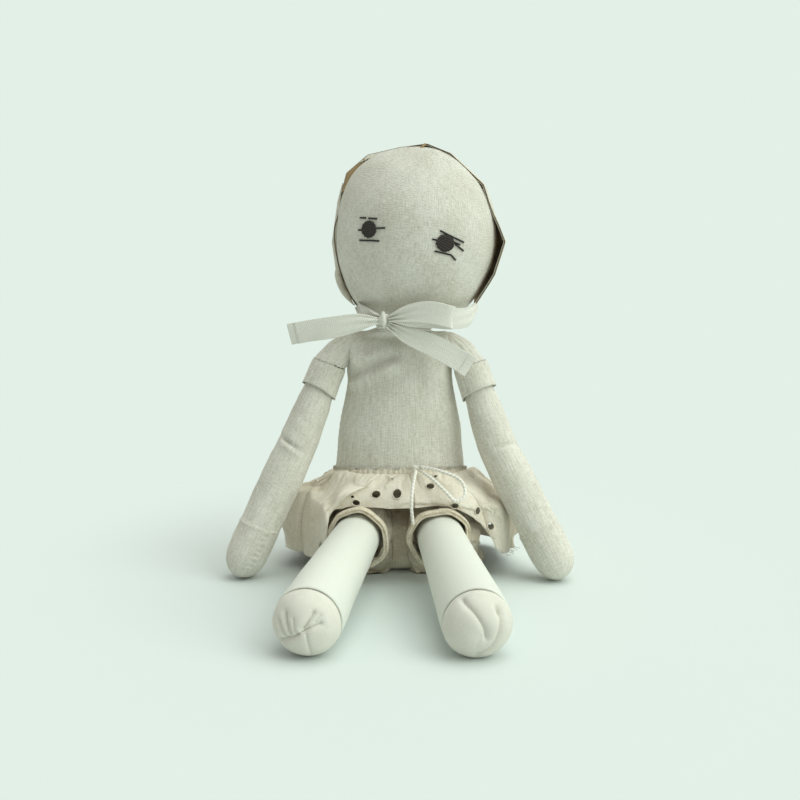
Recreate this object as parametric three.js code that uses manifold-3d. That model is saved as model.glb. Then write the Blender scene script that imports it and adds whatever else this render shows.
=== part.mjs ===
// Rag doll, seated: linen skins over stuffing, hooded bonnet tied with tape, bloomers and eyelet skirt.
// Millimetres, +Z up, the face looks along -Y. The origin is under the seat, on the floor.
import * as THREE from 'three';
import Module from 'manifold-3d';

const wasm = await Module();
wasm.setup();

// Shared fits
const GAP = 0.3; // between neighbours that are sewn or lie together
const SWING_GAP = 0.6; // between a limb and the socket it turns in
const CLOTH = 0.9; // linen skin with its seam allowance

// Trunk: height, half width, half depth, how far the middle lies back
const TRUNK = [
  [0, 41, 28, 14], [5, 47, 34, 12], [20, 50, 36.5, 10], [45, 50, 34.5, 7], [62, 49, 32, 5],
  [75, 48, 30.5, 3.5], [104, 45, 29, 1.5], [128, 40.5, 27.5, 0], [147, 37.5, 25, -1],
  [160, 39.5, 21.5, -3], [169, 37.5, 17.5, -4], [174, 30, 15, -4.6], [175.4, 15.5, 12.6, -5],
];
const TRUNK_SIDES = 20;
const WAIST_ROW = 5; // row of TRUNK where bodice and bloomers meet
const CROTCH_WIDTH = 6.4;
const LAP_HEIGHT = 61; // the trunk's front is open to the legs below this
const LAP_SIZE = 60; // width and depth of that opening at each leg
const LAP_BELOW = 20; // how far it reaches under the floor

// Neck
const NECK = [3, -5, 181];
const NECK_BALL = 10.6;
const NECK_ROOT = 15.5;
const NECK_RING = 3; // wall of the gathered neck seam
const NECK_WAIST = [9.7, -7.5]; // radius and height where the stalk is narrowest

// Head: height over the neck pivot, half width, half depth, how far the middle lies to the left
const HEAD = [
  [3, 0, 0, 0], [4.2, 17, 15, 0], [9, 32, 27, -0.5], [22, 44, 38, -1.5], [40, 53, 45.5, -3], [62, 57, 48, -3],
  [84, 54, 45.6, -3.8], [104, 43.6, 35.6, -5.5], [115.4, 29.5, 23, -6.2], [121.6, 15.5, 12, -6.4], [123.6, 0, 0, -6.4],
];
const HEAD_SIDES = 24;
const HEAD_TILT = 11;
const HEAD_TURN = -13;
const EYE_APART = 54;
const EYE_HEIGHT = 64.5;
const EYE_RADIUS = 6;
const EYE_RAISED = 0.8;
const EYE_SIDES = 16;

// Bonnet: points of its front edge, across and up, from the right corner over the crown to the left one
const BONNET_EDGE = [
  [-36, 8], [-54, 26], [-61.8, 48], [-63.2, 78], [-61.5, 99], [-48.5, 114.5], [-26, 124], [-7, 130],
  [11, 126.5], [39, 109.5], [50, 90], [61, 73], [58.5, 49], [49, 23],
];
const BONNET_PEAK = 7; // point of the edge where the two panels meet
const BONNET_FRONT = -9;
const BONNET_BACK = 61.5;
const BONNET_CENTRE = [-2, 62];
const BONNET_CLOTH = 1;

// Tie tape
const TAPE_WIDTH = 15;
const TAPE = 0.9;
const KNOT = [-11, -43, 188.5];
const KNOT_SIZE = [6.5, 5, 5.5];
const BAND_LOW = NECK[2] - 5.3;
const BAND_HEIGHT = 4.6;
const BAND_SIDE = 18.4;
const BAND_FRONT = 31;
const BAND_BACK = 17;
const BAND_SLOPE = 0.18;
// Each length of tape: the way its width lies, then stations of x, y, z and share of the width
const TAPE_ROUTES = {
  tape_tail_right: [[0, -0.2, 1], [
    [-17.8, -43.3, 188, 0.4], [-28, -45, 187, 0.8], [-46, -45, 183.5, 1], [-62, -43, 181, 1],
    [-77, -41, 178, 1],
  ]],
  tape_tail_left: [[0.5, 0.1, 1], [
    [-7, -46.2, 184, 0.3], [5, -46, 178.5, 0.8], [22, -43, 171, 1], [38, -41, 162, 1], [49, -41, 155, 1],
  ]],
  tape_loop: [[0, 0, 1], [
    [-5.5, -49, 191, 0.4], [6, -54, 194, 0.8], [20, -57.5, 195, 1], [32, -58, 192.5, 1], [36, -55.5, 191, 1],
    [32, -52.5, 190.5, 1], [20, -51, 190.5, 0.9], [6, -49.4, 189.5, 0.7], [-4.9, -45.6, 190.6, 0.3],
  ]],
  tape_strand_right: [[0, 0, 1], [
    [-33, -6.4, 197, 0.4], [-33, -24, 191, 0.6], [-26, -36.5, 190, 0.5], [-17.4, -40.8, 190, 0.3],
  ]],
  tape_strand_left: [[0, 0, 1], [
    [53.4, -26.2, 196, 0.5], [46, -39, 190, 0.9], [30, -46, 189.5, 0.9], [10, -45.4, 189, 0.5],
    [-3.8, -42.6, 188, 0.3],
  ]],
};

// Arms
const SHOULDER = { right: [-48, -8, 161], left: [48, -8, 160] };
const ARM_OUT = { right: 22, left: 19 };
const ARM_FORWARD = { right: 9, left: 11 };
const FOREARM_OUT = { right: 3, left: 8 };
const ARM_SIDES = 12;
const ELBOW = 72; // from the shoulder pivot
const UPPER_ARM_END = 9; // short of the elbow
const ARM_TOP = 8.6; // radius of the skin where it is sewn in
const ARM = [[14, 9.8], [29, 11], [44, 12.8], [ELBOW - UPPER_ARM_END, 13.8]];
const FOREARM_TOP = 14.2;
const FOREARM = [[22, 15], [46, 15], [62, 14.3]];
const HAND = [[69, 15], [89, 14.9]];
const HAND_TIP = 104;
const SLEEVE = 0.7;
const SLEEVE_END = 18;
const CUFF_TOP = 9;
const CUFF_END = 29;
const CUFF = 1.3;
const TAB = 2.4;
const SHOULDER_TAB_RADIUS = 6;

// Legs
const HIP = { right: [-24, -8, 37], left: [24, -8, 37] };
const LEG_SPREAD = { right: 10.2, left: 7.1 };
const LEG_DROP = 5.1; // the heel lies this many degrees lower than level
const LEG_SIDES = 14;
const LEG_TOP = 15.4;
const LEG = [[20, 16], [60, 17.3], [110, 19], [150, 20.6], [173, 21.1]];
const FOOT = [[177, 21.2], [183, 19.9]];
const FOOT_TIP = 196;
const BLOOMER = 1;
const BLOOMER_EASE = 2; // the bloomers hang this loose on the thigh
const BLOOMER_END = 38;
const HEM_ROLL = 2.4;
const HIP_TAB_RADIUS = 7;
const LEG_SWING = [-20, 30, 85]; // lifted, lowered part of the way, hanging down
const LEG_PARTING = [-5, 20]; // closed, apart

// Skirt
const SKIRT_TOP = 69.7;
const WAIST_SLOPE = 0.2; // the waist rises to the front
const SKIRT_CLOTH = 1;
const SKIRT_FOLDS = 16;
const FOLD_DEPTH = 3.6;
const SKIRT_SWELL = [5, 12]; // how far it stands out between waist and hem, in front and at the sides
const SKIRT_ARCH = 3;
const SKIRT_REACH = [84, 60]; // half width and half depth of the spread hem
const SKIRT_SIDES = 96;
const SKIRT_ROWS = 5;
const SKIRT_HEM = [
  [4, -50, 61], [-22, -50, 61], [-49, -46, 55], [-69, -27, 32], [-84, 0, 13], [-84, 28, 7], [-62, 56, 6],
  [0, 70, 6], [62, 56, 6], [83, 30, 7], [83, 2, 14], [75, -24, 24], [58, -43, 42], [32, -50, 60],
];
const CASING_HEIGHT = 4.8;
const CASING = 2.4;
const CASING_SIDES = 40;

// Drawstring
const CORD = 2.4;
const CORD_KNOT = [11.5, -32.4, 80.5];
const CORD_KNOT_RADIUS = 3;
const CORD_TAIL = [
  [11.3, -35.8, 79.7], [10.2, -44.8, 76.6], [9, -51, 71.5], [8.2, -55.2, 65.5], [8, -56.6, 58],
  [9.2, -56, 46],
];
const CORD_LOOP = [
  [14.7, -34.2, 79.4], [23, -46, 76], [32, -54.5, 69], [39, -57.5, 63], [45.5, -55, 67.5],
  [42.5, -48.5, 76], [29, -42.5, 81], [14.4, -34, 82.4],
];

const COLOURS = {
  linen: [0xc9c8b6, 0.9],
  limbs: [0xdcdccd, 0.85],
  bonnet: [0xbdb59f, 0.92],
  tape: [0xdcdccd, 0.88],
  eyelet: [0xd3d0bf, 0.9],
  bloomers: [0xbfb9a3, 0.92],
  stuffing: [0xf0eee6, 1],
  thread: [0x36312d, 0.75],
  cord: [0xcfcab6, 0.88],
};

const rad = THREE.MathUtils.degToRad;
const point = (x, y, z) => new THREE.Vector3(x, y, z);

// Collects triangles of one closed body, joining points that coincide and dropping flat ones.
class Body {
  constructor() {
    this.ids = new Map();
    this.coords = [];
    this.faces = [];
  }

  id(p) {
    const key = [p.x, p.y, p.z].map((c) => Math.round(c * 5000)).join(' ');
    if (!this.ids.has(key)) {
      this.ids.set(key, this.coords.length / 3);
      this.coords.push(p.x, p.y, p.z);
    }
    return this.ids.get(key);
  }

  triangle(a, b, c) {
    const [i, j, k] = [this.id(a), this.id(b), this.id(c)];
    if (i !== j && j !== k && k !== i) this.faces.push(i, j, k);
  }

  quad(a, b, c, d) {
    this.triangle(a, b, c);
    this.triangle(a, c, d);
  }

  // A skin over rows of points, each row a closed ring or an open run.
  skin(rows, ring, flip) {
    const count = ring ? rows[0].length : rows[0].length - 1;
    for (let r = 0; r + 1 < rows.length; r += 1) {
      for (let i = 0; i < count; i += 1) {
        const n = (i + 1) % rows[r].length;
        const [a, b, c, d] = [rows[r][i], rows[r][n], rows[r + 1][n], rows[r + 1][i]];
        if (flip) this.quad(a, d, c, b);
        else this.quad(a, b, c, d);
      }
    }
  }

  fan(row, flip) {
    const middle = row.reduce((sum, p) => sum.add(p), point(0, 0, 0)).divideScalar(row.length);
    row.forEach((p, i) => {
      const next = row[(i + 1) % row.length];
      if (flip) this.triangle(middle, next, p);
      else this.triangle(middle, p, next);
    });
  }

  geometry() {
    const at = (i) => point(...this.coords.slice(3 * i, 3 * i + 3));
    let volume = 0;
    for (let f = 0; f < this.faces.length; f += 3) {
      volume += at(this.faces[f]).dot(at(this.faces[f + 1]).cross(at(this.faces[f + 2])));
    }
    const order = volume < 0 ? [...this.faces].reverse() : this.faces;
    const shape = new THREE.BufferGeometry();
    shape.setAttribute('position', new THREE.Float32BufferAttribute(this.coords, 3));
    shape.setIndex(order);
    return shape;
  }
}

// A filled body through rings, closed at both ends.
function filled(rings) {
  const body = new Body();
  body.skin(rings, true, false);
  body.fan(rings[0], true);
  body.fan(rings[rings.length - 1], false);
  return body.geometry();
}

// Cloth between an outer and an inner set of rows, hemmed along every free edge.
function cloth(outer, inner, ring) {
  const body = new Body();
  body.skin(outer, ring, false);
  body.skin(inner, ring, true);
  const last = outer.length - 1;
  body.skin([inner[0], outer[0]], ring, false);
  body.skin([outer[last], inner[last]], ring, false);
  if (!ring) {
    const side = (rows, i) => rows.map((row) => row[i]);
    const end = outer[0].length - 1;
    body.skin([side(outer, 0), side(inner, 0)], false, false);
    body.skin([side(inner, end), side(outer, end)], false, false);
  }
  return body.geometry();
}

function solidOf(shape) {
  const vertProperties = new Float32Array(shape.getAttribute('position').array);
  const index = shape.getIndex() ?? { array: [...vertProperties.keys()].slice(0, vertProperties.length / 3) };
  const mesh = new wasm.Mesh({ numProp: 3, vertProperties, triVerts: new Uint32Array(index.array) });
  mesh.merge();
  return new wasm.Manifold(mesh);
}

// The shape with other shapes cut away.
function cut(shape, tools) {
  let solid = solidOf(shape);
  for (const tool of tools) solid = solid.subtract(tool);
  const mesh = solid.getMesh();
  const body = new Body();
  const at = (i) => point(...mesh.vertProperties.slice(mesh.numProp * i, mesh.numProp * i + 3));
  for (let f = 0; f < mesh.triVerts.length; f += 3) {
    body.triangle(at(mesh.triVerts[f]), at(mesh.triVerts[f + 1]), at(mesh.triVerts[f + 2]));
  }
  return body.geometry();
}

function ellipse(sides, halfWidth, halfDepth, middle, height) {
  const ring = [];
  for (let i = 0; i < sides; i += 1) {
    const turn = (2 * Math.PI * (i + 0.5)) / sides;
    ring.push(point(halfWidth * Math.sin(turn), middle - halfDepth * Math.cos(turn), height));
  }
  return ring;
}

// Rings of a round limb along -Z through [distance, radius] stations.
function tube(stations, sides) {
  return stations.map(([along, radius]) => ellipse(sides, radius, radius, 0, -along));
}

const grown = (stations, grow) => stations.map(([along, radius]) => [along, radius + grow]);

// The radius of a limb between two of its stations.
function radiusAt(stations, along) {
  const next = stations.findIndex((station) => station[0] >= along);
  const [low, high] = [stations[next - 1], stations[next]];
  return low[1] + ((high[1] - low[1]) * (along - low[0])) / (high[0] - low[0]);
}

// The stations that lie on a limb before a distance, and one at it.
function upTo(stations, along) {
  return [...stations.filter((station) => station[0] < along - 0.5), [along, radiusAt(stations, along)]];
}

// Stations of a ball about the start of a limb, from its pole to its equator.
function ballStart(radius, steps) {
  const stations = [];
  for (let i = 0; i < steps; i += 1) {
    const turn = (Math.PI / 2) * (i / steps);
    stations.push([-radius * Math.cos(turn), radius * Math.sin(turn)]);
  }
  stations.push([0, radius]);
  return stations;
}

// Stations of a domed end from the last station to its tip.
function domeEnd([along, radius], tip, steps) {
  const stations = [];
  for (let i = 1; i <= steps; i += 1) {
    const turn = (Math.PI / 2) * (i / steps);
    stations.push([along + (tip - along) * Math.sin(turn), radius * Math.cos(turn)]);
  }
  return stations;
}

// A ball whose facets all lie outside its radius, to cut a socket with.
function ball(radius, centre) {
  const [round, tall] = [18, 12];
  const outside = radius / (Math.cos(Math.PI / round) * Math.cos(Math.PI / (2 * tall)));
  return solidOf(new THREE.SphereGeometry(outside, round, tall).translate(...centre));
}

function add(group, name, shape, [colour, roughness]) {
  const material = new THREE.MeshStandardMaterial({ color: colour, roughness, metalness: 0 });
  const mesh = new THREE.Mesh(shape, material);
  mesh.name = name;
  group.add(mesh);
}

// A turning tab: a stitched disc on the X axis, on the trunk's side of a limb's pivot.
function tabDisc(radius, near, far, side) {
  const middle = (near + far) / 2;
  const disc = new THREE.CylinderGeometry(radius, radius, far - near, 16).rotateZ(Math.PI / 2);
  return disc.translate(side * middle, 0, 0);
}

const inward = { right: 1, left: -1 };
const sleeveBall = ARM_TOP + GAP + SLEEVE;
const bloomerBall = LEG_TOP + BLOOMER_EASE + BLOOMER;
const hemAlong = BLOOMER_END + HEM_ROLL + GAP;

// A profile of [height, half width, half depth, ...] rows moved out along its own slope.
function grownProfile(profile, grow) {
  return profile.map(([height, wide, deep, ...rest], i) => {
    const before = profile[Math.max(i - 1, 0)];
    const after = profile[Math.min(i + 1, profile.length - 1)];
    const rise = after[0] - before[0];
    const spread = (after[1] + after[2] - before[1] - before[2]) / 2;
    const length = Math.hypot(rise, spread);
    const out = wide ? (grow * rise) / length : 0;
    return [height - (grow * spread) / length, wide + out, deep + out, ...rest];
  });
}

function trunkRows(grow, from, to) {
  const rows = grownProfile(TRUNK, grow);
  rows[0] = [TRUNK[0][0] - grow, TRUNK[0][1] + grow, TRUNK[0][2] + grow, TRUNK[0][3]];
  return rows.slice(from, to).map(([height, wide, deep, middle]) => {
    return ellipse(TRUNK_SIDES, wide, deep, middle, height);
  });
}

// The room that a leg in its bloomers needs about the hip, over all the ways it turns.
function legRoom(side) {
  const s = inward[side];
  const hip = point(...HIP[side]);
  const hemRadius = radiusAt(legStations(BLOOMER_EASE), hemAlong) + 2 * HEM_ROLL;
  const balls = [ball(bloomerBall + SWING_GAP, HIP[side])];
  for (const swing of LEG_SWING) {
    for (const parting of LEG_PARTING) {
      const way = point(0, 0, -hemAlong).applyEuler(new THREE.Euler(rad(LEG_DROP - 90), 0, 0));
      way.applyAxisAngle(point(0, 0, -s), rad(LEG_SPREAD[side] + parting));
      way.applyAxisAngle(point(1, 0, 0), rad(swing));
      balls.push(ball(hemRadius + SWING_GAP, way.add(hip).toArray()));
    }
  }
  return wasm.Manifold.hull(balls);
}

// What the arms, legs and neck take out of the trunk.
function trunkOpenings() {
  const tools = [ball(NECK_ROOT + GAP, NECK)];
  for (const side of ['right', 'left']) {
    const s = inward[side];
    const armReach = sleeveBall + GAP;
    tools.push(ball(sleeveBall + SWING_GAP, SHOULDER[side]));
    const shoulderPocket = tabDisc(SHOULDER_TAB_RADIUS + SWING_GAP, 0, armReach + TAB + GAP, s);
    tools.push(solidOf(shoulderPocket.translate(...SHOULDER[side])));
    tools.push(legRoom(side));
    const lap = new THREE.BoxGeometry(LAP_SIZE, LAP_SIZE, LAP_HEIGHT + LAP_BELOW);
    const aside = (LAP_SIZE + CROTCH_WIDTH) / 2;
    lap.translate(-s * aside, HIP[side][1] - LAP_SIZE / 2, (LAP_HEIGHT - LAP_BELOW) / 2);
    tools.push(solidOf(lap));
    const hipPocket = tabDisc(HIP_TAB_RADIUS + SWING_GAP, 0, bloomerBall + GAP + TAB + GAP, s);
    tools.push(solidOf(hipPocket.translate(...HIP[side])));
  }
  return tools;
}

function addTrunk(group) {
  const openings = trunkOpenings();
  const rows = TRUNK.length;
  const stuffing = filled(trunkRows(-CLOTH - GAP, 0, rows));
  add(group, 'torso_stuffing', cut(stuffing, openings), COLOURS.stuffing);
  const bodice = cloth(trunkRows(0, WAIST_ROW, rows), trunkRows(-CLOTH, WAIST_ROW, rows), true);
  add(group, 'bodice', cut(bodice, openings), COLOURS.linen);
  const waist = TRUNK[WAIST_ROW][0] - GAP;
  const level = (row) => row.map((p) => point(p.x, p.y, waist));
  const outer = trunkRows(0, 0, WAIST_ROW + 1);
  const inner = trunkRows(-CLOTH, 0, WAIST_ROW + 1);
  outer[WAIST_ROW] = level(outer[WAIST_ROW]);
  inner[WAIST_ROW] = level(inner[WAIST_ROW]);
  const seat = new Body();
  seat.skin(outer, true, false);
  seat.skin(inner, true, true);
  seat.skin([outer[WAIST_ROW], inner[WAIST_ROW]], true, false);
  seat.fan(outer[0], true);
  seat.fan(inner[0], false);
  add(group, 'bloomers_seat', cut(seat.geometry(), openings), COLOURS.bloomers);
}

// The trunk's outline round the sloping waist, so far above the skirt's top edge.
function waistRing(rise, grow, sides) {
  return ellipse(sides, 1, 1, 0, 0).map((p) => {
    const height = SKIRT_TOP + rise + WAIST_SLOPE * -p.y * TRUNK[WAIST_ROW][2];
    const above = TRUNK.findIndex((row) => row[0] > height);
    const [low, high] = [TRUNK[above - 1], TRUNK[above]];
    const share = (height - low[0]) / (high[0] - low[0]);
    const [, wide, deep, middle] = low.map((value, i) => value + (high[i] - value) * share);
    return point(p.x * (wide + grow), middle + p.y * (deep + grow), height);
  });
}

function addSkirt(group) {
  const hem = new THREE.CatmullRomCurve3(SKIRT_HEM.map((p) => point(...p)), true);
  const top = waistRing(0, GAP + SKIRT_CLOTH, SKIRT_SIDES);
  const middle = TRUNK[WAIST_ROW][3];
  const hemPoints = hem.getPoints(600);
  const angle = (p, wide, deep) => Math.atan2(p.x / wide, (middle - p.y) / deep);
  const apart = (a, b) => Math.abs(Math.atan2(Math.sin(a - b), Math.cos(a - b)));
  const ends = top.map((p) => {
    const turn = angle(p, 1, 1);
    const off = (q) => apart(angle(q, ...SKIRT_REACH), turn);
    return hemPoints.reduce((best, q) => (off(q) < off(best) ? q : best));
  });
  const row = (share, inset) => top.map((p, i) => {
    const out = point(p.x, p.y - middle, 0).normalize();
    const fold = Math.cos((2 * Math.PI * SKIRT_FOLDS * (i + 0.5)) / SKIRT_SIDES);
    const arch = Math.sin(Math.PI * share);
    const q = p.clone().lerp(ends[i], share);
    const swell = THREE.MathUtils.lerp(...SKIRT_SWELL, Math.abs(out.x)) * arch;
    q.addScaledVector(out, swell + FOLD_DEPTH * share * fold - inset);
    return q.setZ(q.z + SKIRT_ARCH * arch);
  });
  const rows = (inset) => {
    const list = [];
    for (let i = 0; i <= SKIRT_ROWS; i += 1) list.push(row(i / SKIRT_ROWS, inset));
    return list;
  };
  add(group, 'skirt', cloth(rows(0), rows(SKIRT_CLOTH), true), COLOURS.eyelet);
  const casing = [[0, 0.7], [0.5, 1], [1, 0.6]];
  const ring = (share, grow) => waistRing(GAP + CASING_HEIGHT * share, 2 * GAP + grow, CASING_SIDES);
  const outside = casing.map(([share, swell]) => ring(share, CASING * swell));
  const inside = casing.map(([share]) => ring(share, 0));
  add(group, 'waist_casing', cloth(outside, inside, true), COLOURS.eyelet);
}

// A round cord through route points.
function cordAlong(route, steps) {
  const path = new THREE.CatmullRomCurve3(route.map((p) => point(...p)));
  const section = new THREE.Shape();
  for (let i = 0; i < 8; i += 1) {
    const turn = (Math.PI * i) / 4;
    const [x, y] = [(CORD / 2) * Math.cos(turn), (CORD / 2) * Math.sin(turn)];
    if (i) section.lineTo(x, y);
    else section.moveTo(x, y);
  }
  return new THREE.ExtrudeGeometry(section, { steps, extrudePath: path });
}

function addDrawstring(group) {
  const knot = new THREE.SphereGeometry(CORD_KNOT_RADIUS, 10, 7).translate(...CORD_KNOT);
  add(group, 'drawstring_knot', knot, COLOURS.cord);
  add(group, 'drawstring_tail', cordAlong(CORD_TAIL, 10), COLOURS.cord);
  add(group, 'drawstring_loop', cordAlong(CORD_LOOP, 20), COLOURS.cord);
}

// A flat tape through its stations.
function tapeAlong(across, stations) {
  const centres = stations.map(([x, y, z]) => point(x, y, z));
  const rings = stations.map(([, , , share], i) => {
    const before = centres[Math.max(i - 1, 0)];
    const after = centres[Math.min(i + 1, centres.length - 1)];
    const along = after.clone().sub(before).normalize();
    const face = along.clone().cross(point(...across)).normalize();
    const side = face.clone().cross(along).multiplyScalar((TAPE_WIDTH * share) / 2);
    face.multiplyScalar(TAPE / 2);
    const corner = (w, t) => centres[i].clone().addScaledVector(side, w).addScaledVector(face, t);
    return [corner(-1, -1), corner(1, -1), corner(1, 1), corner(-1, 1)];
  });
  return filled(rings);
}

function addTie(group) {
  const knot = new THREE.SphereGeometry(1, 12, 8).scale(...KNOT_SIZE).translate(...KNOT);
  add(group, 'tape_knot', knot, COLOURS.tape);
  for (const [name, [across, stations]] of Object.entries(TAPE_ROUTES)) {
    add(group, name, tapeAlong(across, stations), COLOURS.tape);
  }
  const corners = [[0, 0], [TAPE, 0], [TAPE, BAND_HEIGHT], [0, BAND_HEIGHT]];
  const hoops = corners.map(([grow, rise]) => {
    return ellipse(24, BAND_SIDE + grow, 1, 0, 0).map((p) => {
      const forward = -p.y * ((p.y < 0 ? BAND_FRONT : BAND_BACK) + grow);
      const lift = BAND_SLOPE * Math.max(0, forward);
      return point(NECK[0] + p.x, NECK[1] - forward, BAND_LOW + rise + lift);
    });
  });
  const body = new Body();
  hoops.forEach((hoop, k) => body.skin([hoop, hoops[(k + 1) % 4]], true, false));
  add(group, 'tape_band', body.geometry(), COLOURS.tape);
}

function addNeck(group) {
  const profile = [];
  for (let i = 0; i <= 8; i += 1) {
    const turn = (Math.PI * 0.655 * i) / 8;
    profile.push(new THREE.Vector2(NECK_BALL * Math.sin(turn), NECK_BALL * Math.cos(turn)));
  }
  profile[0].x = 0;
  profile.push(new THREE.Vector2(...NECK_WAIST));
  for (let i = 0; i <= 3; i += 1) {
    const turn = Math.PI * (0.743 + (0.257 * i) / 3);
    profile.push(new THREE.Vector2(NECK_ROOT * Math.sin(turn), NECK_ROOT * Math.cos(turn)));
  }
  profile[profile.length - 1].x = 0;
  const stalk = new THREE.LatheGeometry(profile.reverse(), 16).rotateX(Math.PI / 2);
  add(group, 'neck_stalk', stalk.translate(...NECK), COLOURS.linen);
  const collar = (radius) => {
    const rows = [];
    for (let i = 0; i <= 4; i += 1) {
      const rise = -2 + 2.2 * i;
      const wide = Math.sqrt(radius * radius - rise * rise);
      rows.push(ellipse(16, wide, wide, 0, rise));
    }
    return rows;
  };
  const inside = NECK_BALL + SWING_GAP;
  const ring = cloth(collar(inside + NECK_RING), collar(inside), true).translate(...NECK);
  add(group, 'neck_ring', ring, COLOURS.linen);
}

// The head's outline at one height, half of its ring: the face in front or the back behind.
function headRows(grow, from, to) {
  return grownProfile(HEAD, grow).map(([height, wide, deep, middle]) => {
    const row = [];
    for (let i = from; i <= to; i += 1) {
      const turn = (2 * Math.PI * i) / HEAD_SIDES;
      row.push(point(middle + wide * Math.sin(turn), -deep * Math.cos(turn), height));
    }
    return row;
  });
}

// How far forward the face lies at a place on it.
function faceDepth(x, z) {
  const above = HEAD.findIndex((row) => row[0] > z);
  const [low, high] = [HEAD[above - 1], HEAD[above]];
  const share = (z - low[0]) / (high[0] - low[0]);
  const [, wide, deep, middle] = low.map((value, i) => value + (high[i] - value) * share);
  return -deep * Math.sqrt(1 - ((x - middle) / wide) ** 2);
}

function addHead(group) {
  const neckHole = ball(NECK_BALL + SWING_GAP + NECK_RING + GAP, [0, 0, 0]);
  const quarter = HEAD_SIDES / 4;
  const face = cloth(headRows(0, -quarter, quarter), headRows(-CLOTH, -quarter, quarter), false);
  add(group, 'face_panel', cut(face, [neckHole]), COLOURS.linen);
  const rear = cloth(headRows(0, quarter, 3 * quarter), headRows(-CLOTH, quarter, 3 * quarter), false);
  rear.translate(0, GAP, 0);
  add(group, 'head_back', cut(rear, [neckHole]), COLOURS.linen);
  const core = headRows(-CLOTH - 2 * GAP, 0, HEAD_SIDES - 1);
  add(group, 'head_stuffing', cut(filled(core), [neckHole]), COLOURS.stuffing);
  for (const [name, x] of [['right_eye', -EYE_APART / 2], ['left_eye', EYE_APART / 2]]) {
    const disc = [];
    const under = 2 * GAP;
    const top = under + EYE_RAISED;
    for (const [reach, out] of [[0, under], [1, under], [1, under + EYE_RAISED / 2], [0.6, top], [0, top]]) {
      const ring = ellipse(EYE_SIDES, EYE_RADIUS * reach, EYE_RADIUS * reach, 0, 0);
      disc.push(ring.map((p) => {
        const [across, up] = [x + p.x, EYE_HEIGHT + p.y];
        return point(across, faceDepth(across, up) - out, up);
      }));
    }
    const eye = new Body();
    eye.skin(disc, true, false);
    add(group, name, eye.geometry(), COLOURS.thread);
  }
}

// One side of the hood: rows of the front edge swept back around the head to its seam.
function bonnetPanel(edge, inset) {
  const rows = [];
  for (let r = 0; r <= 6; r += 1) {
    const turn = (Math.PI / 2) * (r / 6);
    rows.push(edge.map(([x, z]) => {
      const [dx, dz] = [x - BONNET_CENTRE[0], z - BONNET_CENTRE[1]];
      const length = Math.hypot(dx, dz);
      const scale = (Math.cos(turn) * 0.94 + 0.06) * (length - inset) / length;
      const back = BONNET_FRONT + (BONNET_BACK - BONNET_FRONT - inset) * Math.sin(turn);
      return point(BONNET_CENTRE[0] + dx * scale, back, BONNET_CENTRE[1] + dz * scale);
    }));
  }
  return rows;
}

function addBonnet(group) {
  const sides = { bonnet_right: [0, BONNET_PEAK + 1], bonnet_left: [BONNET_PEAK, BONNET_EDGE.length] };
  for (const [name, [from, to]] of Object.entries(sides)) {
    const edge = BONNET_EDGE.slice(from, to);
    const shape = cloth(bonnetPanel(edge, 0), bonnetPanel(edge, BONNET_CLOTH), false);
    if (name === 'bonnet_left') shape.translate(GAP, 0, 0);
    add(group, name, shape, COLOURS.bonnet);
  }
}

// Stations of each limb's surface, grown outward or shrunk inward.
const armStations = (grow) => [...ballStart(ARM_TOP + grow, 4), ...grown(ARM, grow)];
const forearmStations = (grow) => [...ballStart(FOREARM_TOP + grow, 4), ...grown(FOREARM, grow)];
const legStations = (grow) => [...ballStart(LEG_TOP + grow, 4), ...grown(LEG, grow)];

function endStations(last, stations, tip, grow) {
  const body = grown(stations, grow);
  const start = [last[0] + GAP, last[1] + grow];
  return [start, ...body, ...domeEnd(body[body.length - 1], tip + grow, 4)];
}

function sewnTube(stations, sides) {
  return cloth(tube(stations(0), sides), tube(stations(-CLOTH), sides), true);
}

function addForearm(group, side) {
  add(group, `${side}_forearm`, sewnTube(forearmStations, ARM_SIDES), COLOURS.linen);
  const wrist = FOREARM[FOREARM.length - 1];
  const hand = (grow) => endStations(wrist, HAND, HAND_TIP, grow);
  add(group, `${side}_hand`, sewnTube(hand, ARM_SIDES), COLOURS.linen);
  const inside = -CLOTH - GAP;
  const core = [...forearmStations(inside), ...hand(inside).slice(1)];
  add(group, `${side}_forearm_stuffing`, filled(tube(core, ARM_SIDES)), COLOURS.stuffing);
}

// The upper arm's stuffing ends in a hollow that the forearm's round top turns in.
function upperArmCore() {
  const hollow = FOREARM_TOP + SWING_GAP;
  const start = Math.acos(UPPER_ARM_END / hollow);
  const stations = armStations(-CLOTH - GAP);
  for (let i = 0; i <= 3; i += 1) {
    const turn = start * (1 - i / 3);
    stations.push([ELBOW - hollow * Math.cos(turn), hollow * Math.sin(turn)]);
  }
  return stations;
}

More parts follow.
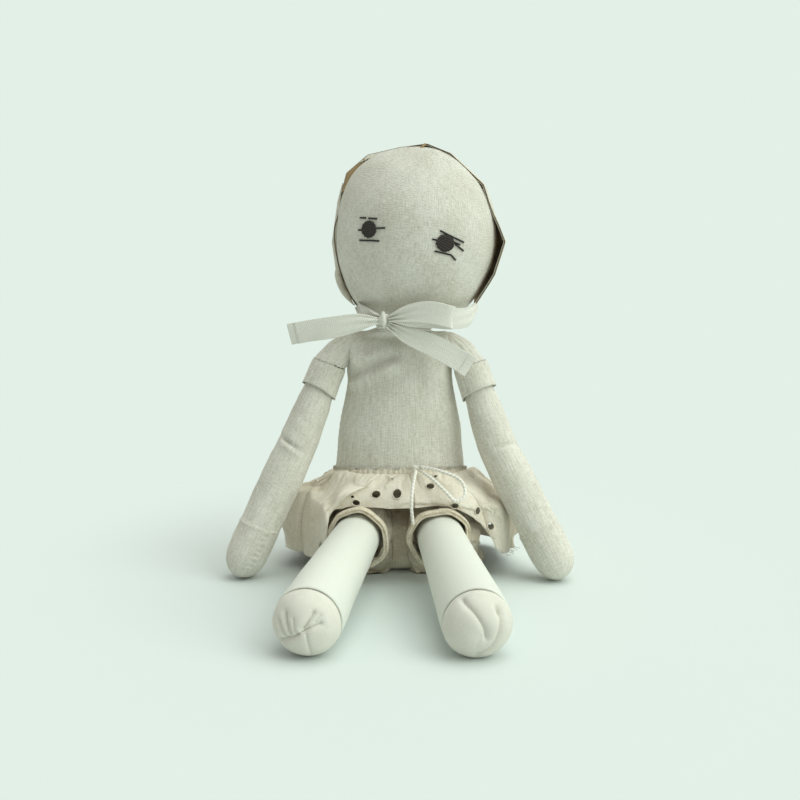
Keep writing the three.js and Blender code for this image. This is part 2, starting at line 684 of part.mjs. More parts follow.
function addArm(group, side) {
  const s = inward[side];
  const near = sleeveBall + GAP;
  const tab = tabDisc(SHOULDER_TAB_RADIUS, near, near + TAB, s).translate(...SHOULDER[side]);
  add(group, `${side}_shoulder_tab`, tab, COLOURS.linen);
  const upper = new THREE.Group();
  upper.position.set(...SHOULDER[side]);
  upper.rotation.order = 'YXZ';
  upper.rotation.set(rad(-ARM_FORWARD[side]), s * rad(ARM_OUT[side]), 0);
  add(upper, `${side}_upper_arm`, sewnTube(armStations, ARM_SIDES), COLOURS.linen);
  add(upper, `${side}_upper_arm_stuffing`, filled(tube(upperArmCore(), ARM_SIDES)), COLOURS.stuffing);
  const over = (grow) => tube(upTo(armStations(grow), SLEEVE_END), ARM_SIDES);
  add(upper, `${side}_sleeve`, cloth(over(GAP + SLEEVE), over(GAP), true), COLOURS.linen);
  const under = 2 * GAP + SLEEVE;
  const band = (grow) => {
    const surface = armStations(under + grow);
    const heights = [CUFF_TOP, (CUFF_TOP + CUFF_END) / 2, CUFF_END];
    return tube(heights.map((along) => [along, radiusAt(surface, along)]), ARM_SIDES);
  };
  add(upper, `${side}_cuff`, cloth(band(CUFF), band(0), true), COLOURS.linen);
  const forearm = new THREE.Group();
  forearm.position.set(0, 0, -ELBOW);
  forearm.rotation.set(0, s * rad(FOREARM_OUT[side]), 0);
  addForearm(forearm, side);
  upper.add(forearm);
  group.add(upper);
}

function addLeg(group, side) {
  const s = inward[side];
  const near = bloomerBall + GAP;
  const tab = tabDisc(HIP_TAB_RADIUS, near, near + TAB, s).translate(...HIP[side]);
  add(group, `${side}_hip_tab`, tab, COLOURS.limbs);
  const leg = new THREE.Group();
  leg.position.set(...HIP[side]);
  leg.rotation.order = 'ZYX';
  leg.rotation.set(rad(LEG_DROP - 90), 0, -s * rad(LEG_SPREAD[side]));
  add(leg, `${side}_leg`, sewnTube(legStations, LEG_SIDES), COLOURS.limbs);
  const ankle = LEG[LEG.length - 1];
  const foot = (grow) => endStations(ankle, FOOT, FOOT_TIP, grow);
  add(leg, `${side}_foot`, sewnTube(foot, LEG_SIDES), COLOURS.linen);
  const inside = -CLOTH - GAP;
  const core = [...legStations(inside), ...foot(inside).slice(1)];
  add(leg, `${side}_leg_stuffing`, filled(tube(core, LEG_SIDES)), COLOURS.stuffing);
  const over = (grow) => tube(upTo(legStations(grow), BLOOMER_END), LEG_SIDES);
  const loose = cloth(over(BLOOMER_EASE + BLOOMER), over(BLOOMER_EASE), true);
  add(leg, `${side}_bloomer_leg`, loose, COLOURS.bloomers);
  const radius = radiusAt(legStations(BLOOMER_EASE), hemAlong) + HEM_ROLL;
  const hem = new THREE.TorusGeometry(radius, HEM_ROLL, 7, 20).translate(0, 0, -hemAlong);
  add(leg, `${side}_bloomer_hem`, hem, COLOURS.bloomers);
  group.add(leg);
}

const doll = new THREE.Group();
doll.name = 'rag_doll';
addTrunk(doll);
addSkirt(doll);
addDrawstring(doll);
addTie(doll);
addNeck(doll);
const head = new THREE.Group();
head.position.set(...NECK);
head.rotation.set(0, rad(HEAD_TILT), rad(HEAD_TURN));
addHead(head);
addBonnet(head);
doll.add(head);
for (const side of ['right', 'left']) {
  addArm(doll, side);
  addLeg(doll, side);
}

export default doll;
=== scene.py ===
"""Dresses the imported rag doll: stuffed linen skins, bonnet, tie, bloomers, eyelet skirt and drawstring."""

import math

import bmesh
import bpy
import numpy as np
from bpy.props import FloatProperty, FloatVectorProperty, IntProperty, PointerProperty
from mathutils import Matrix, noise


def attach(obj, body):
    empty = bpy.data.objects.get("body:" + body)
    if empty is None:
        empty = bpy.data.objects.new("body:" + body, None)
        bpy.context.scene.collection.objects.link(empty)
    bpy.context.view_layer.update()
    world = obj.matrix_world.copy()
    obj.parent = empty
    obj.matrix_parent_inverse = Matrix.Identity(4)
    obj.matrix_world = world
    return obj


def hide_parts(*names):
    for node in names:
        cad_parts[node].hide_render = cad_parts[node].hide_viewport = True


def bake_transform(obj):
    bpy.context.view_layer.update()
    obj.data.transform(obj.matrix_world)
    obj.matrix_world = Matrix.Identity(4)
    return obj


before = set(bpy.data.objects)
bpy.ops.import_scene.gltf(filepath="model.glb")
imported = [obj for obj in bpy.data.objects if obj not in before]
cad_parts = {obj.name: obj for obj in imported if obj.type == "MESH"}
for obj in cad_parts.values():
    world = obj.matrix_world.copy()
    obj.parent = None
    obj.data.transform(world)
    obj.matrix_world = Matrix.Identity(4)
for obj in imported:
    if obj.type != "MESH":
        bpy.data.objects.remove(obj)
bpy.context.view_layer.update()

bl_info = {
    "name": "Rag doll",
    "version": (1, 0, 0),
    "blender": (4, 5, 0),
    "location": "View3D > Sidebar > Rag doll",
    "description": "Sews the cloth of a seated rag doll onto its packed frame",
    "category": "Object",
}

MM = 0.001
SIDES = {"right": 1, "left": -1}  # which way is inward along X

# Shapes shared with the part's solids, in millimetres and degrees
TRUNK = [  # height, half width, half depth, how far the middle lies back
    (0, 41, 28, 14), (5, 47, 34, 12), (20, 50, 36.5, 10), (45, 50, 34.5, 7), (62, 49, 32, 5),
    (75, 48, 30.5, 3.5), (104, 45, 29, 1.5), (128, 40.5, 27.5, 0), (147, 37.5, 25, -1),
    (160, 39.5, 21.5, -3), (169, 37.5, 17.5, -4), (174, 30, 15, -4.6), (175.4, 15.5, 12.6, -5),
]
NECK = (3, -5, 181)
HEAD = [  # height over the neck pivot, half width, half depth, how far back and to the left the middle lies
    (3, 8, 7, 0, 0), (4.2, 17, 15, 0, 0), (9, 32, 27, 0, -0.5), (22, 44, 38, 0, -1.5), (40, 53, 45.5, 0, -3),
    (62, 57, 48, 0, -3), (84, 54, 45.6, 0, -3.8), (104, 43.6, 35.6, 0, -5.5), (115.4, 29.5, 23, 0, -6.2),
    (121.6, 15.5, 12, 0, -6.4), (123.6, 0.5, 0.5, 0, -6.4),
]
HEAD_TILT, HEAD_TURN = 11, -13
BONNET_EDGE = [  # across and up, from the right corner over the crown to the left one
    (-36, 8), (-54, 26), (-61.8, 48), (-63.2, 78), (-61.5, 99), (-48.5, 114.5), (-26, 124), (-7, 130),
    (11, 126.5), (39, 109.5), (50, 90), (61, 73), (58.5, 49), (49, 23),
]
BONNET_SHADOW_LINE = [  # a dark line of brown thread beside the right of the face, painted shadow between face and bonnet, across and up
    (-31, 5), (-42.5, 16.3), (-50.2, 28), (-57.6, 45), (-60.7, 57.4), (-60, 67.3), (-55, 94),
]
BONNET_PEAK = 7  # the corner of the edge where the two panels meet
BONNET_FRONT, BONNET_BACK, BONNET_CENTRE = -9, 61.5, (-2, 62)
SHOULDER = {"right": (-48, -8, 161), "left": (48, -8, 160)}
ARM_OUT = {"right": 22, "left": 19}
ARM_FORWARD = {"right": 9, "left": 11}
FOREARM_OUT = {"right": 3, "left": 8}
ELBOW = 72
ARM = [  # distance from the shoulder and radius, as for the other limbs
    (2, 8.6), (14, 9.8), (29, 11), (44, 12.8), (63, 13.8), (72, 13.9), (94, 15), (118, 15), (130, 14.8),
    (137, 14.6),
]
HAND = [
    (134, 14.2), (136, 14.9), (141, 15.2), (152, 15.2), (161, 14.7), (168, 12.6), (173, 8.6), (175.6, 4),
    (176, 0.3),
]
SLEEVE = [(-13, 1), (-11.4, 6), (-6, 9.9), (4, 11.4), (12, 11.7), (18, 11.9)]
CUFF_TOP = 9
CUFF = [
    (CUFF_TOP, 12.0), (10, 12.7), (19, 13.1), (27, 13.7), (29, 13.9), (29.6, 13.4), (29, 12.8), (22, 12.3),
]
HIP = {"right": (-24, -8, 37), "left": (24, -8, 37)}
LEG_SPREAD = {"right": 10.2, "left": 7.1}
LEG_DROP = 5.1
LEG = [(6, 15.6), (20, 16), (60, 17.3), (110, 19), (150, 20.6), (170, 21.2), (174.6, 21.4)]
LEG_LIP = [(175.5, 21.2), (175.9, 20.4), (175, 19.3), (172, 18.4)]  # turned in under the foot's cap
FOOT = [
    (172, 17), (175.6, 17.8), (177.5, 20.5), (180, 20.9), (184, 19.8), (190, 15.6), (194.3, 8.6), (196, 0.3),
]
FOOT_GROW = {"right": 1.0, "left": 1.035}
BLOOMER = [(-13, 11.5), (-6, 16.6), (2, 18.6), (20, 19.2), (37.5, 19.8)]
HEM_ALONG, HEM_RADIUS = 40.7, 21
SKIRT_TOP, WAIST_SLOPE, WAIST_DEPTH, WAIST_MIDDLE = 69.7, 0.2, 30.5, 3.5
SKIRT_SWELL, SKIRT_ARCH, SKIRT_REACH = 5, 3, (84, 60)
SKIRT_HEM = [  # corners of the lower edge
    (4, -50, 57), (-22, -50, 57), (-45, -47, 52.5), (-50, -38, 30), (-53, -28, 14), (-70, -14, 11),
    (-84, 6, 10), (-84, 28, 7), (-62, 56, 6), (0, 70, 6), (62, 56, 6), (83, 30, 7), (83, 4, 12),
    (74, -14, 14), (67, -28, 20), (62, -38, 35), (46, -48, 51), (30, -50, 57),
]
TAPE_ROUTES = {  # the way the width lies, then x, y, z and share of the width
    "tape_tail_right": ((0, -0.2, 1), [
        (-15.2, -43.3, 188.3, 0.3), (-28, -45, 187, 0.8), (-46, -45, 183.5, 1), (-62, -43, 181, 1),
        (-77, -41, 178, 1)]),
    "tape_tail_left": ((0.5, 0.1, 1), [
        (-9, -46.4, 186, 0.25), (5, -46, 178.5, 0.8), (22, -43, 171, 1), (38, -41, 162, 1),
        (49, -41, 155, 1)]),
    "tape_loop": ((0, 0, 1), [
        (-7.5, -47, 190, 0.3), (6, -54, 194, 0.8), (20, -57.5, 195, 1), (32, -58, 192.5, 1),
        (36, -55.5, 191, 1), (32, -52.5, 190.5, 1), (20, -51, 190.5, 0.9), (6, -49.4, 189.5, 0.7),
        (-6.9, -44.6, 189.6, 0.25)]),
    "tape_strand_right": ((0, 0, 1), [
        (-31, -6.4, 197, 0.5), (-27.5, -22, 191.5, 0.8), (-22, -34, 190.5, 0.7),
        (-15.5, -40.8, 189.8, 0.35)]),
    "tape_strand_left": ((0, 0, 1), [
        (53.4, -26.2, 196, 0.5), (46, -39, 190, 0.9), (30, -46, 189.5, 0.9), (10, -45.4, 189, 0.5),
        (-3.8, -42.6, 188, 0.3)]),
}
KNOT, KNOT_SIZE = (-11, -43, 188.5), (6.5, 5, 5.5)
CORD_KNOT = (11.5, -32.4, 80.5)
CORD_TAIL = [
    (11.3, -35.8, 79.7), (10.2, -44.8, 76.6), (9, -51, 71.5), (8.2, -55.2, 65.5), (8, -56.6, 58),
    (9.2, -56, 46),
]
CORD_LOOP = [
    (14.7, -34.2, 79.4), (23, -46, 76), (32, -54.5, 69), (39, -57.5, 63), (45.5, -55, 67.5),
    (42.5, -48.5, 76), (29, -42.5, 81), (14.4, -34, 82.4),
]


def linear(code):
    """An sRGB hex value as linear red, green, blue and alpha."""
    parts = [int(code[i:i + 2], 16) / 255 for i in (0, 2, 4)]
    return [c / 12.92 if c <= 0.04045 else ((c + 0.055) / 1.055) ** 2.4 for c in parts] + [1.0]


def colour(name, about, code):
    return FloatVectorProperty(
        name=name, description=about, subtype="COLOR", size=4, min=0, max=1, default=linear(code))


def length(name, about, millimetres):
    return FloatProperty(name=name, description=about, unit="LENGTH", precision=5, default=millimetres * MM)


class DollColours(bpy.types.PropertyGroup):
    """Colours of the doll's cloths and threads."""

    linen: colour("Linen", "Skin of head, trunk, arms and feet", "E4E2D8")
    linen_slub: colour("Linen slubs", "Thicker, darker threads in the linen", "C4BFAF")
    calico: colour("Calico", "Smooth skin of the legs", "DCDFD5")
    bonnet: colour("Bonnet linen", "Outside of the bonnet", "E0DBCD")
    # the bonnet's inside is the same linen as its outside; this darker brown is painted shade
    shade_lining: colour("Bonnet inside", "Inside of the bonnet, darkened as painted shade", "A68B63")
    bloomers: colour("Bloomer cotton", "Seat, legs and hems of the bloomers", "E8E0D0")
    eyelet: colour("Eyelet cotton", "Ruffle of the skirt", "EEE8DB")
    tape: colour("Twill tape", "Tie of the bonnet", "F3F2E9")
    cord: colour("Cotton cord", "Drawstring", "F4F2EA")
    stitch: colour("Stitch thread", "Dark thread of stitches", "1B1816")
    backdrop: colour("Backdrop", "Floor and background", "E3F0E7")


class DollSizes(bpy.types.PropertyGroup):
    """Sizes of the doll's cloth details."""

    thread: length("Thread spacing", "Distance between threads that show in the linen", 0.9)
    tape_width: length("Tape width", "Width of the twill tape", 15)
    tape_thickness: length("Tape thickness", "Thickness of the twill tape", 0.9)
    cord: length("Cord diameter", "Diameter of the drawstring", 2.4)
    cloth: length("Cloth thickness", "Thickness of bonnet and skirt", 1)
    eye: length("Eye radius", "Radius of an embroidered eye", 5.7)
    eyelet_rim: length("Eyelet rim", "Thickness of the stitched rim of an eyelet", 0.9)
    gathers: IntProperty(name="Gathers", description="Gathers round the waist casing", default=64, min=8)


def colours():
    return bpy.context.scene.doll_colours


def sizes():
    return bpy.context.scene.doll_sizes


# Placing and shaping

def turn(axis, degrees):
    """The matrix that turns points about an axis."""
    s, c = math.sin(math.radians(degrees)), math.cos(math.radians(degrees))
    return np.array({"x": [[1, 0, 0], [0, c, -s], [0, s, c]], "y": [[c, 0, s], [0, 1, 0], [-s, 0, c]],
                     "z": [[c, -s, 0], [s, c, 0], [0, 0, 1]]}[axis])


HEAD_AXES = turn("y", HEAD_TILT) @ turn("z", HEAD_TURN)
ARM_AXES = {side: turn("y", s * ARM_OUT[side]) @ turn("x", -ARM_FORWARD[side]) for side, s in SIDES.items()}
LEG_AXES = {side: turn("z", -s * LEG_SPREAD[side]) @ turn("x", LEG_DROP - 90) for side, s in SIDES.items()}


def placed(points, axes, origin):
    """Points of a piece's own frame where they lie on the doll."""
    return np.asarray(points, float) @ axes.T + np.array(origin, float)


def on_head(points):
    return placed(points, HEAD_AXES, NECK)


def on_arm(points, side):
    return placed(points, ARM_AXES[side], SHOULDER[side])


def on_leg(points, side):
    return placed(points, LEG_AXES[side], HIP[side])


def spline(points, count, closed=False):
    """Points of a smooth curve through the given ones."""
    p = np.asarray(points, float)
    if closed:
        p = np.vstack([p[-1], p, p[:2]])
    else:
        p = np.vstack([2 * p[0] - p[1], p, 2 * p[-1] - p[-2]])
    t = np.linspace(0, len(p) - 3, count, endpoint=not closed)
    i = np.minimum(t.astype(int), len(p) - 4)
    f = (t - i)[:, None]
    a, b, c, d = p[i], p[i + 1], p[i + 2], p[i + 3]
    square, cube = 2 * a - 5 * b + 4 * c - d, 3 * b - a - 3 * c + d
    return 0.5 * (2 * b + (c - a) * f + square * f ** 2 + cube * f ** 3)


def run_length(line):
    """How long a line of points is."""
    return float(np.linalg.norm(np.diff(line, axis=0), axis=1).sum())


def even(points, count):
    """The same line with evenly spaced points."""
    p = np.asarray(points, float)
    run = np.concatenate([[0], np.cumsum(np.linalg.norm(np.diff(p, axis=0), axis=1))])
    at = np.linspace(0, run[-1], count)
    return np.stack([np.interp(at, run, p[:, k]) for k in range(p.shape[1])], axis=1)


def profile(stations, count):
    """A smooth row of stations through a few given ones."""
    return even(spline(stations, 12 * len(stations)), count)


def angles(count):
    """Angles once round, starting at the front."""
    return np.radians(np.linspace(0, 360, count, endpoint=False))


def ring_rows(stations, phi):
    """Rows of points round Z through stations of height, half width, half depth and where the middle lies."""
    table = np.asarray(stations, float)
    middle = table[:, 3:4] if table.shape[1] > 3 else 0
    aside = table[:, 4:5] if table.shape[1] > 4 else 0
    x = aside + table[:, 1:2] * np.sin(phi)
    y = middle - table[:, 2:3] * np.cos(phi)
    return np.stack([x, y, np.repeat(table[:, 0:1], len(phi), axis=1)], axis=2)


def limb_rows(stations, phi):
    """Rows of points round a limb along -Z through (distance, radius) stations."""
    table = np.asarray(stations, float)
    return ring_rows(np.stack([-table[:, 0], table[:, 1], table[:, 1]], axis=1), phi)


def limb(stations, count, columns=72):
    """Rows round a limb, the angle of each column, and how far along the limb each point lies."""
    phi = angles(columns)
    rows = limb_rows(profile(stations, count), phi)
    return rows, phi, -rows[:, :, 2]


def normals(rows, ring, flip=False):
    """The way out of the surface at each point of its rows."""
    if ring:
        du = np.roll(rows, -1, axis=1) - np.roll(rows, 1, axis=1)
    else:
        du = np.gradient(rows, axis=1)
    n = np.cross(du, np.gradient(rows, axis=0))
    n /= np.maximum(np.linalg.norm(n, axis=2, keepdims=True), 1e-9)
    return -n if flip else n


def raised(rows, field, ring=True, flip=False):
    """The rows with each point moved out of the surface by so many millimetres."""
    return rows + normals(rows, ring, flip) * field[:, :, None]


def lumps(rows, size, seed):
    """Smooth noise between about -1 and 1 at each point, with features of that size."""
    flat = rows.reshape(-1, 3) / size + np.array([seed * 7.31, seed * 3.77, seed * 5.13])
    return np.array([noise.noise(p) for p in flat.tolist()]).reshape(rows.shape[:-1])


def reach(rows, line):
    """Distance of each point from a line of points."""
    p = rows.reshape(-1, 3)
    line = np.asarray(line, float)
    best = np.full(len(p), np.inf)
    for a, b in zip(line[:-1], line[1:]):
        way = b - a
        share = np.clip((p - a) @ way / np.linalg.norm(way) ** 2, 0, 1)
        best = np.minimum(best, np.linalg.norm(p - a - share[:, None] * way, axis=1))
    return best.reshape(rows.shape[:-1])


def bell(off, width):
    """1 in the middle, and nearly nothing two widths away."""
    return np.exp(-(off / width) ** 2)


def crease(rows, line, depth, width):
    """A fold pressed in along a line, with a soft lip on both sides."""
    off = reach(rows, line)
    return -depth * bell(off, width) + 0.3 * depth * bell(off - 2.4 * width, 1.4 * width)


def pucker(off, run, depth, pitch, spread):
    """Small gathers beside a seam: off is the distance from it, run the place along it."""
    return -depth * np.exp(-off / spread) * (0.55 + 0.45 * np.cos(2 * np.pi * run / pitch))


def step(low, high, value):
    """0 up to low and 1 from high on, with a smooth rise; high may be the smaller one."""
    t = np.clip((value - low) / (high - low), 0, 1)
    return t * t * (3 - 2 * t)


# Meshes

def surface(name, rows, cloth, ring=False, caps=(False, False), flip=False):
    """A quad mesh over rows of points in millimetres, with UVs in metres along and across the cloth."""
    rows = np.asarray(rows, float) * MM
    r, c = rows.shape[:2]
    across = np.linalg.norm(np.diff(np.concatenate([rows, rows[:, :1]], axis=1), axis=1), axis=2)
    u = np.concatenate([[0], np.cumsum(across.max(axis=0))])
    v = np.concatenate([[0], np.cumsum(np.linalg.norm(np.diff(rows, axis=0), axis=2).max(axis=1))])
    points = rows.reshape(-1, 3).tolist()
    faces, uvs = [], []
    for i in range(r - 1):
        for j in range(c if ring else c - 1):
            k = (j + 1) % c
            quad = [(i, j, j), (i, k, j + 1), (i + 1, k, j + 1), (i + 1, j, j)]
            quad = quad[::-1] if flip else quad
            faces.append([a * c + b for a, b, _ in quad])
            uvs += [(u[w], v[a]) for a, _, w in quad]
    for end, row in ((0, 0), (1, r - 1)):
        if caps[end]:
            points.append(rows[row].mean(axis=0).tolist())
            for j in range(c):
                tri = [(row * c + j, u[j]), (row * c + (j + 1) % c, u[j + 1]), (len(points) - 1, u[j])]
                tri = tri if (end == 1) != flip else tri[::-1]
                faces.append([t[0] for t in tri])
                uvs += [(t[1], v[row]) for t in tri]
    mesh = bpy.data.meshes.new(name)
    mesh.from_pydata(points, [], faces)
    layer = mesh.uv_layers.new(name="cloth")
    layer.data.foreach_set("uv", np.array(uvs, np.float32).ravel())
    mesh.polygons.foreach_set("use_smooth", [True] * len(mesh.polygons))
    mesh.update()
    made = bpy.data.objects.new(f"{name}_soft", mesh)
    bpy.context.scene.collection.objects.link(made)
    made.data.materials.append(cloth)
    return made


def tube_rows(line, radius, sides=8):
    """Rows round a line of points, in the frame that turns least along it."""
    line = np.asarray(line, float)
    along = np.gradient(line, axis=0)
    along /= np.linalg.norm(along, axis=1, keepdims=True)
    side = np.cross(along[0], [0.3, 0.2, 1.0])
    radius = np.broadcast_to(radius, len(line))
    phi = angles(sides)
    rows = []
    for p, t, rad in zip(line, along, radius):
        side = side - t * (side @ t)
        side = side / np.linalg.norm(side)
        up = np.cross(t, side)
        rows.append(p + rad * (np.cos(phi)[:, None] * side + np.sin(phi)[:, None] * up))
    return np.array(rows)


def tube(name, line, radius, cloth, sides=8):
    return surface(name, tube_rows(line, radius, sides), cloth, ring=True, caps=(True, True))


def joined(name, parts):
    """One object out of several, all of the first one's material."""
    mesh = bmesh.new()
    for part in parts:
        mesh.from_mesh(part.data)
    made = parts[0]
    mesh.to_mesh(made.data)
    mesh.free()
    made.data.uv_layers.active = made.data.uv_layers["cloth"]
    for part in parts[1:]:
        bpy.data.meshes.remove(part.data)
    made.name = f"{name}_soft"
    return made


def settle(made):
    """Applies the object's modifiers."""
    graph = bpy.context.evaluated_depsgraph_get()
    mesh = bpy.data.meshes.new_from_object(made.evaluated_get(graph), depsgraph=graph)
    made.modifiers.clear()
    made.data = mesh


def thicken(made, thickness, inward=True, shade_lining=None):
    """Gives a surface the thickness of its cloth, and another material on its inside if it has one, such as
    the bonnet's inside darkened as painted shade.
    """
    if shade_lining:
        made.data.materials.append(shade_lining)
    solid = made.modifiers.new("cloth", "SOLIDIFY")
    solid.thickness = thickness
    solid.offset = -1 if inward else 1
    solid.material_offset = 1 if shade_lining else 0
    settle(made)


def dress(made, body, slot, *nodes):
    """The piece moves with a body and stands for CAD nodes; the slot is not used."""
    if body:
        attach(made, body)
    if nodes:
        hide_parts(*nodes)


# Materials

def node(tree, kind, inputs=None, **settings):
    """Adds a node with its settings, and links or sets its inputs."""
    made = tree.nodes.new("ShaderNode" + kind)
    for name, value in settings.items():
        setattr(made, name, value)
    for socket, value in (inputs or {}).items():
        if isinstance(value, bpy.types.NodeSocket):
            tree.links.new(value, made.inputs[socket])
        else:
            made.inputs[socket].default_value = value
    return made


def maths(tree, operation, *values):
    """A number worked out by a Math node."""
    return node(tree, "Math", dict(enumerate(values)), operation=operation).outputs[0]


def vectors(tree, operation, *values):
    """A vector worked out by a Vector Math node."""
    return node(tree, "VectorMath", dict(enumerate(values)), operation=operation).outputs[0]


def cloth_material(name, roughness, sheen):
    """A plain cloth material, its tree, its shader and the cloth's own coordinates in millimetres."""
    made = bpy.data.materials.new(name)
    made.use_nodes = True
    tree = made.node_tree
    shader = tree.nodes["Principled BSDF"]
    shader.inputs["Roughness"].default_value = roughness
    shader.inputs["Sheen Weight"].default_value = sheen
    shader.inputs["Sheen Roughness"].default_value = 0.6
    shader.inputs["Specular IOR Level"].default_value = 0.25
    uv = node(tree, "TexCoord").outputs["UV"]
    return made, tree, shader, vectors(tree, "MULTIPLY", uv, (1 / MM, 1 / MM, 1 / MM))


def tinted(tree, shader, share, dark, pale, relief, height, distance):
    """Colours a shader between dark and pale by a share, and gives it the relief of a height."""
    tint = node(tree, "Mix", {"Factor": share, 6: dark, 7: pale}, data_type="RGBA")
    tree.links.new(tint.outputs[2], shader.inputs["Base Color"])
    bump = node(tree, "Bump", {"Height": height, "Strength": relief, "Distance": distance})
    tree.links.new(bump.outputs[0], shader.inputs["Normal"])


WEAVE_RELIEF, PLY_RELIEF = 0.0005, 0.0004  # height of the bumps, in metres
TAPE_COLUMN, TAPE_RIB = 3.75, 1.5  # a column of the herringbone and its ribs, in millimetres


def plain_weave(name, pale, dark, spacing, slubs, depth, roughness=0.92):
    """Linen or cotton in plain weave: fine uneven threads both ways, longer slubs along the warp, matt.

    The real threads are about 0.4 mm apart, too fine for the picture, so they are drawn coarser."""
    made, tree, shader, uv = cloth_material(name, roughness, 0.08)
    cloudiness = 0.8  # weight of the broad unevenness of the dye
    layers = []
    for across, along, turned in ((1, 7, False), (1, 6, True), (1.4, 60, False)):
        scale = (1 / (spacing * across), 1 / (spacing * along), 1)
        scale = (scale[1], scale[0], 1) if turned else scale
        way = vectors(tree, "MULTIPLY", uv, scale)
        layers.append(node(tree, "TexNoise", {"Vector": way, "Scale": 1, "Detail": 1}).outputs[0])
    weave = maths(tree, "ADD", layers[0], layers[1])
    weave = maths(tree, "MULTIPLY_ADD", layers[2], slubs, weave)
    cloudy = node(tree, "TexNoise", {"Vector": uv, "Scale": 0.035, "Detail": 2}).outputs[0]
    mixed = maths(tree, "MULTIPLY_ADD", cloudy, cloudiness, weave)
    middle = 0.5 * (2 + slubs + cloudiness)
    ramp = node(tree, "MapRange", {"Value": mixed, "From Min": middle - 0.45, "From Max": middle + 0.3})
    tinted(tree, shader, ramp.outputs[0], dark, pale, depth, weave, WEAVE_RELIEF)
    return made


def mixed_colour(a, b, share):
    """A colour so far from the first to the second."""
    return [x * (1 - share) + y * share for x, y in zip(a, b)]


def herringbone_tape():
    """Cotton herringbone twill tape: fine diagonal ribs that turn back in narrow columns, darker between the
    ribs as painted shade, matt and pale.

    The ribs are drawn 1.5 mm apart, about twice the real distance, so that they show."""
    pale = colours().tape
    made, tree, shader, uv = cloth_material("herringbone cotton tape", 0.9, 0.1)
    across, along, _ = node(tree, "SeparateXYZ", {0: uv}).outputs
    column = maths(tree, "PINGPONG", across, TAPE_COLUMN)
    slope = maths(tree, "MULTIPLY_ADD", column, 1.1, along)
    rib = maths(tree, "SINE", maths(tree, "MULTIPLY", slope, 2 * math.pi / TAPE_RIB))
    share = node(tree, "MapRange", {"Value": rib, "From Min": -1, "From Max": 1}).outputs[0]
    fuzz = node(tree, "TexNoise", {"Vector": uv, "Scale": 0.5, "Detail": 3}).outputs[0]
    height = maths(tree, "MULTIPLY_ADD", fuzz, 0.5, share)
    # the hollows between ribs get the darker colour: painted shade
    tinted(tree, shader, height, mixed_colour(pale, linear("8F8B77"), 0.6), pale, 0.35, height, WEAVE_RELIEF)
    return made


def twisted_thread(name, pale, dark, pitch, round_it, roughness=0.85, relief=0.6):
    """Twisted cotton: plies that wind round the strand, darker where they meet as painted shade, with a dull
    sheen.
    """
    made, tree, shader, uv = cloth_material(name, roughness, 0.1)
    across, along, _ = node(tree, "SeparateXYZ", {0: uv}).outputs
    wound = maths(tree, "MULTIPLY_ADD", across, pitch / round_it, along)
    ply = maths(tree, "SINE", maths(tree, "MULTIPLY", wound, 2 * math.pi / pitch))
    # the grooves between plies get the dark colour: painted shade
    share = node(tree, "MapRange", {"Value": ply, "From Min": -1, "From Max": 0.6}).outputs[0]
    tinted(tree, shader, share, dark, pale, relief, share, PLY_RELIEF)
    return made


def recipes():
    """How each cloth or thread is made, its name, its colours and its numbers."""
    c, thread, slub = colours(), sizes().thread / MM, colours().linen_slub
    return {
        # undyed washed linen, plainly woven: grey-cream with vertical slubs
        "linen": (plain_weave, "washed linen", c.linen, slub, thread, 0.75, 0.55),
        # the face: the same linen shrunk to a fine crinkle, with few slubs
        "crepe": (plain_weave, "crinkled linen", c.linen, slub, 0.8, 0.25, 0.8),
        # pressed cotton calico: even, smooth and paler than the linen
        "calico": (plain_weave, "cotton calico", c.calico, mixed_colour(c.calico, c.linen, 0.6),
                   0.8, 0.2, 0.08, 0.88),
        # the finer linen of the feet, pulled tight; darkened towards the slub colour as painted shade on the
        # fronts of the feet
        "sole": (plain_weave, "tight linen", mixed_colour(c.linen, slub, 0.15),
                 mixed_colour(c.linen, slub, 0.4), thread, 0.3, 0.15),
        # thin linen of the bonnet, creased
        "bonnet": (plain_weave, "bonnet linen", c.bonnet, slub, thread, 0.4, 0.3),
        # its inside: the same linen, darkened to brown as painted shade
        "shade_lining": (plain_weave, "unbleached linen", c.shade_lining, linear("A58F6B"), thread, 0.4, 0.3),
        # soft cotton of the bloomers, warm where it folds
        "bloomers": (plain_weave, "bloomer cotton", c.bloomers, linear("C4B597"), 1.0, 0.4, 0.3),
        # thin cotton lawn with stitched eyelets, warm in its folds
        "eyelet": (plain_weave, "eyelet cotton lawn", c.eyelet, linear("DACFB9"), 0.9, 0.4, 0.25),
        # pale herringbone tape of the tie
        "tape": (herringbone_tape,),
        # twisted cotton drawstring
        "cord": (twisted_thread, "twisted cotton cord", c.cord, linear("E2DED1"),
                 3.0, math.pi * 2.4, 0.85, 0.12),
        # a thin dark brown line along the bonnet's front edge: painted shade of its inside
        "edge": (twisted_thread, "brown binding thread", linear("7A6A50"), linear("55482F"), 1.2, 1.6),
        # stranded embroidery thread, charcoal
        "eye": (twisted_thread, "stranded eye thread", linear("4B433F"), linear("16120F"), 1.6, 2.8, 0.7),
        # dark sewing thread
        "stitch": (twisted_thread, "dark sewing thread", mixed_colour(c.stitch, linear("4A433D"), 0.4),
                   c.stitch, 1.2, 1.6, 0.7),
        # pale sewing thread of seams and edges
        "overlock": (twisted_thread, "pale sewing thread", c.cord, linear("A79F89"), 1.2, 1.6),
    }


MADE = {}


def material(name):
    """Each cloth's material, made once."""
    if name not in MADE:
        make, *values = recipes()[name]
        MADE[name] = make(*values)
    return MADE[name]


# Stage

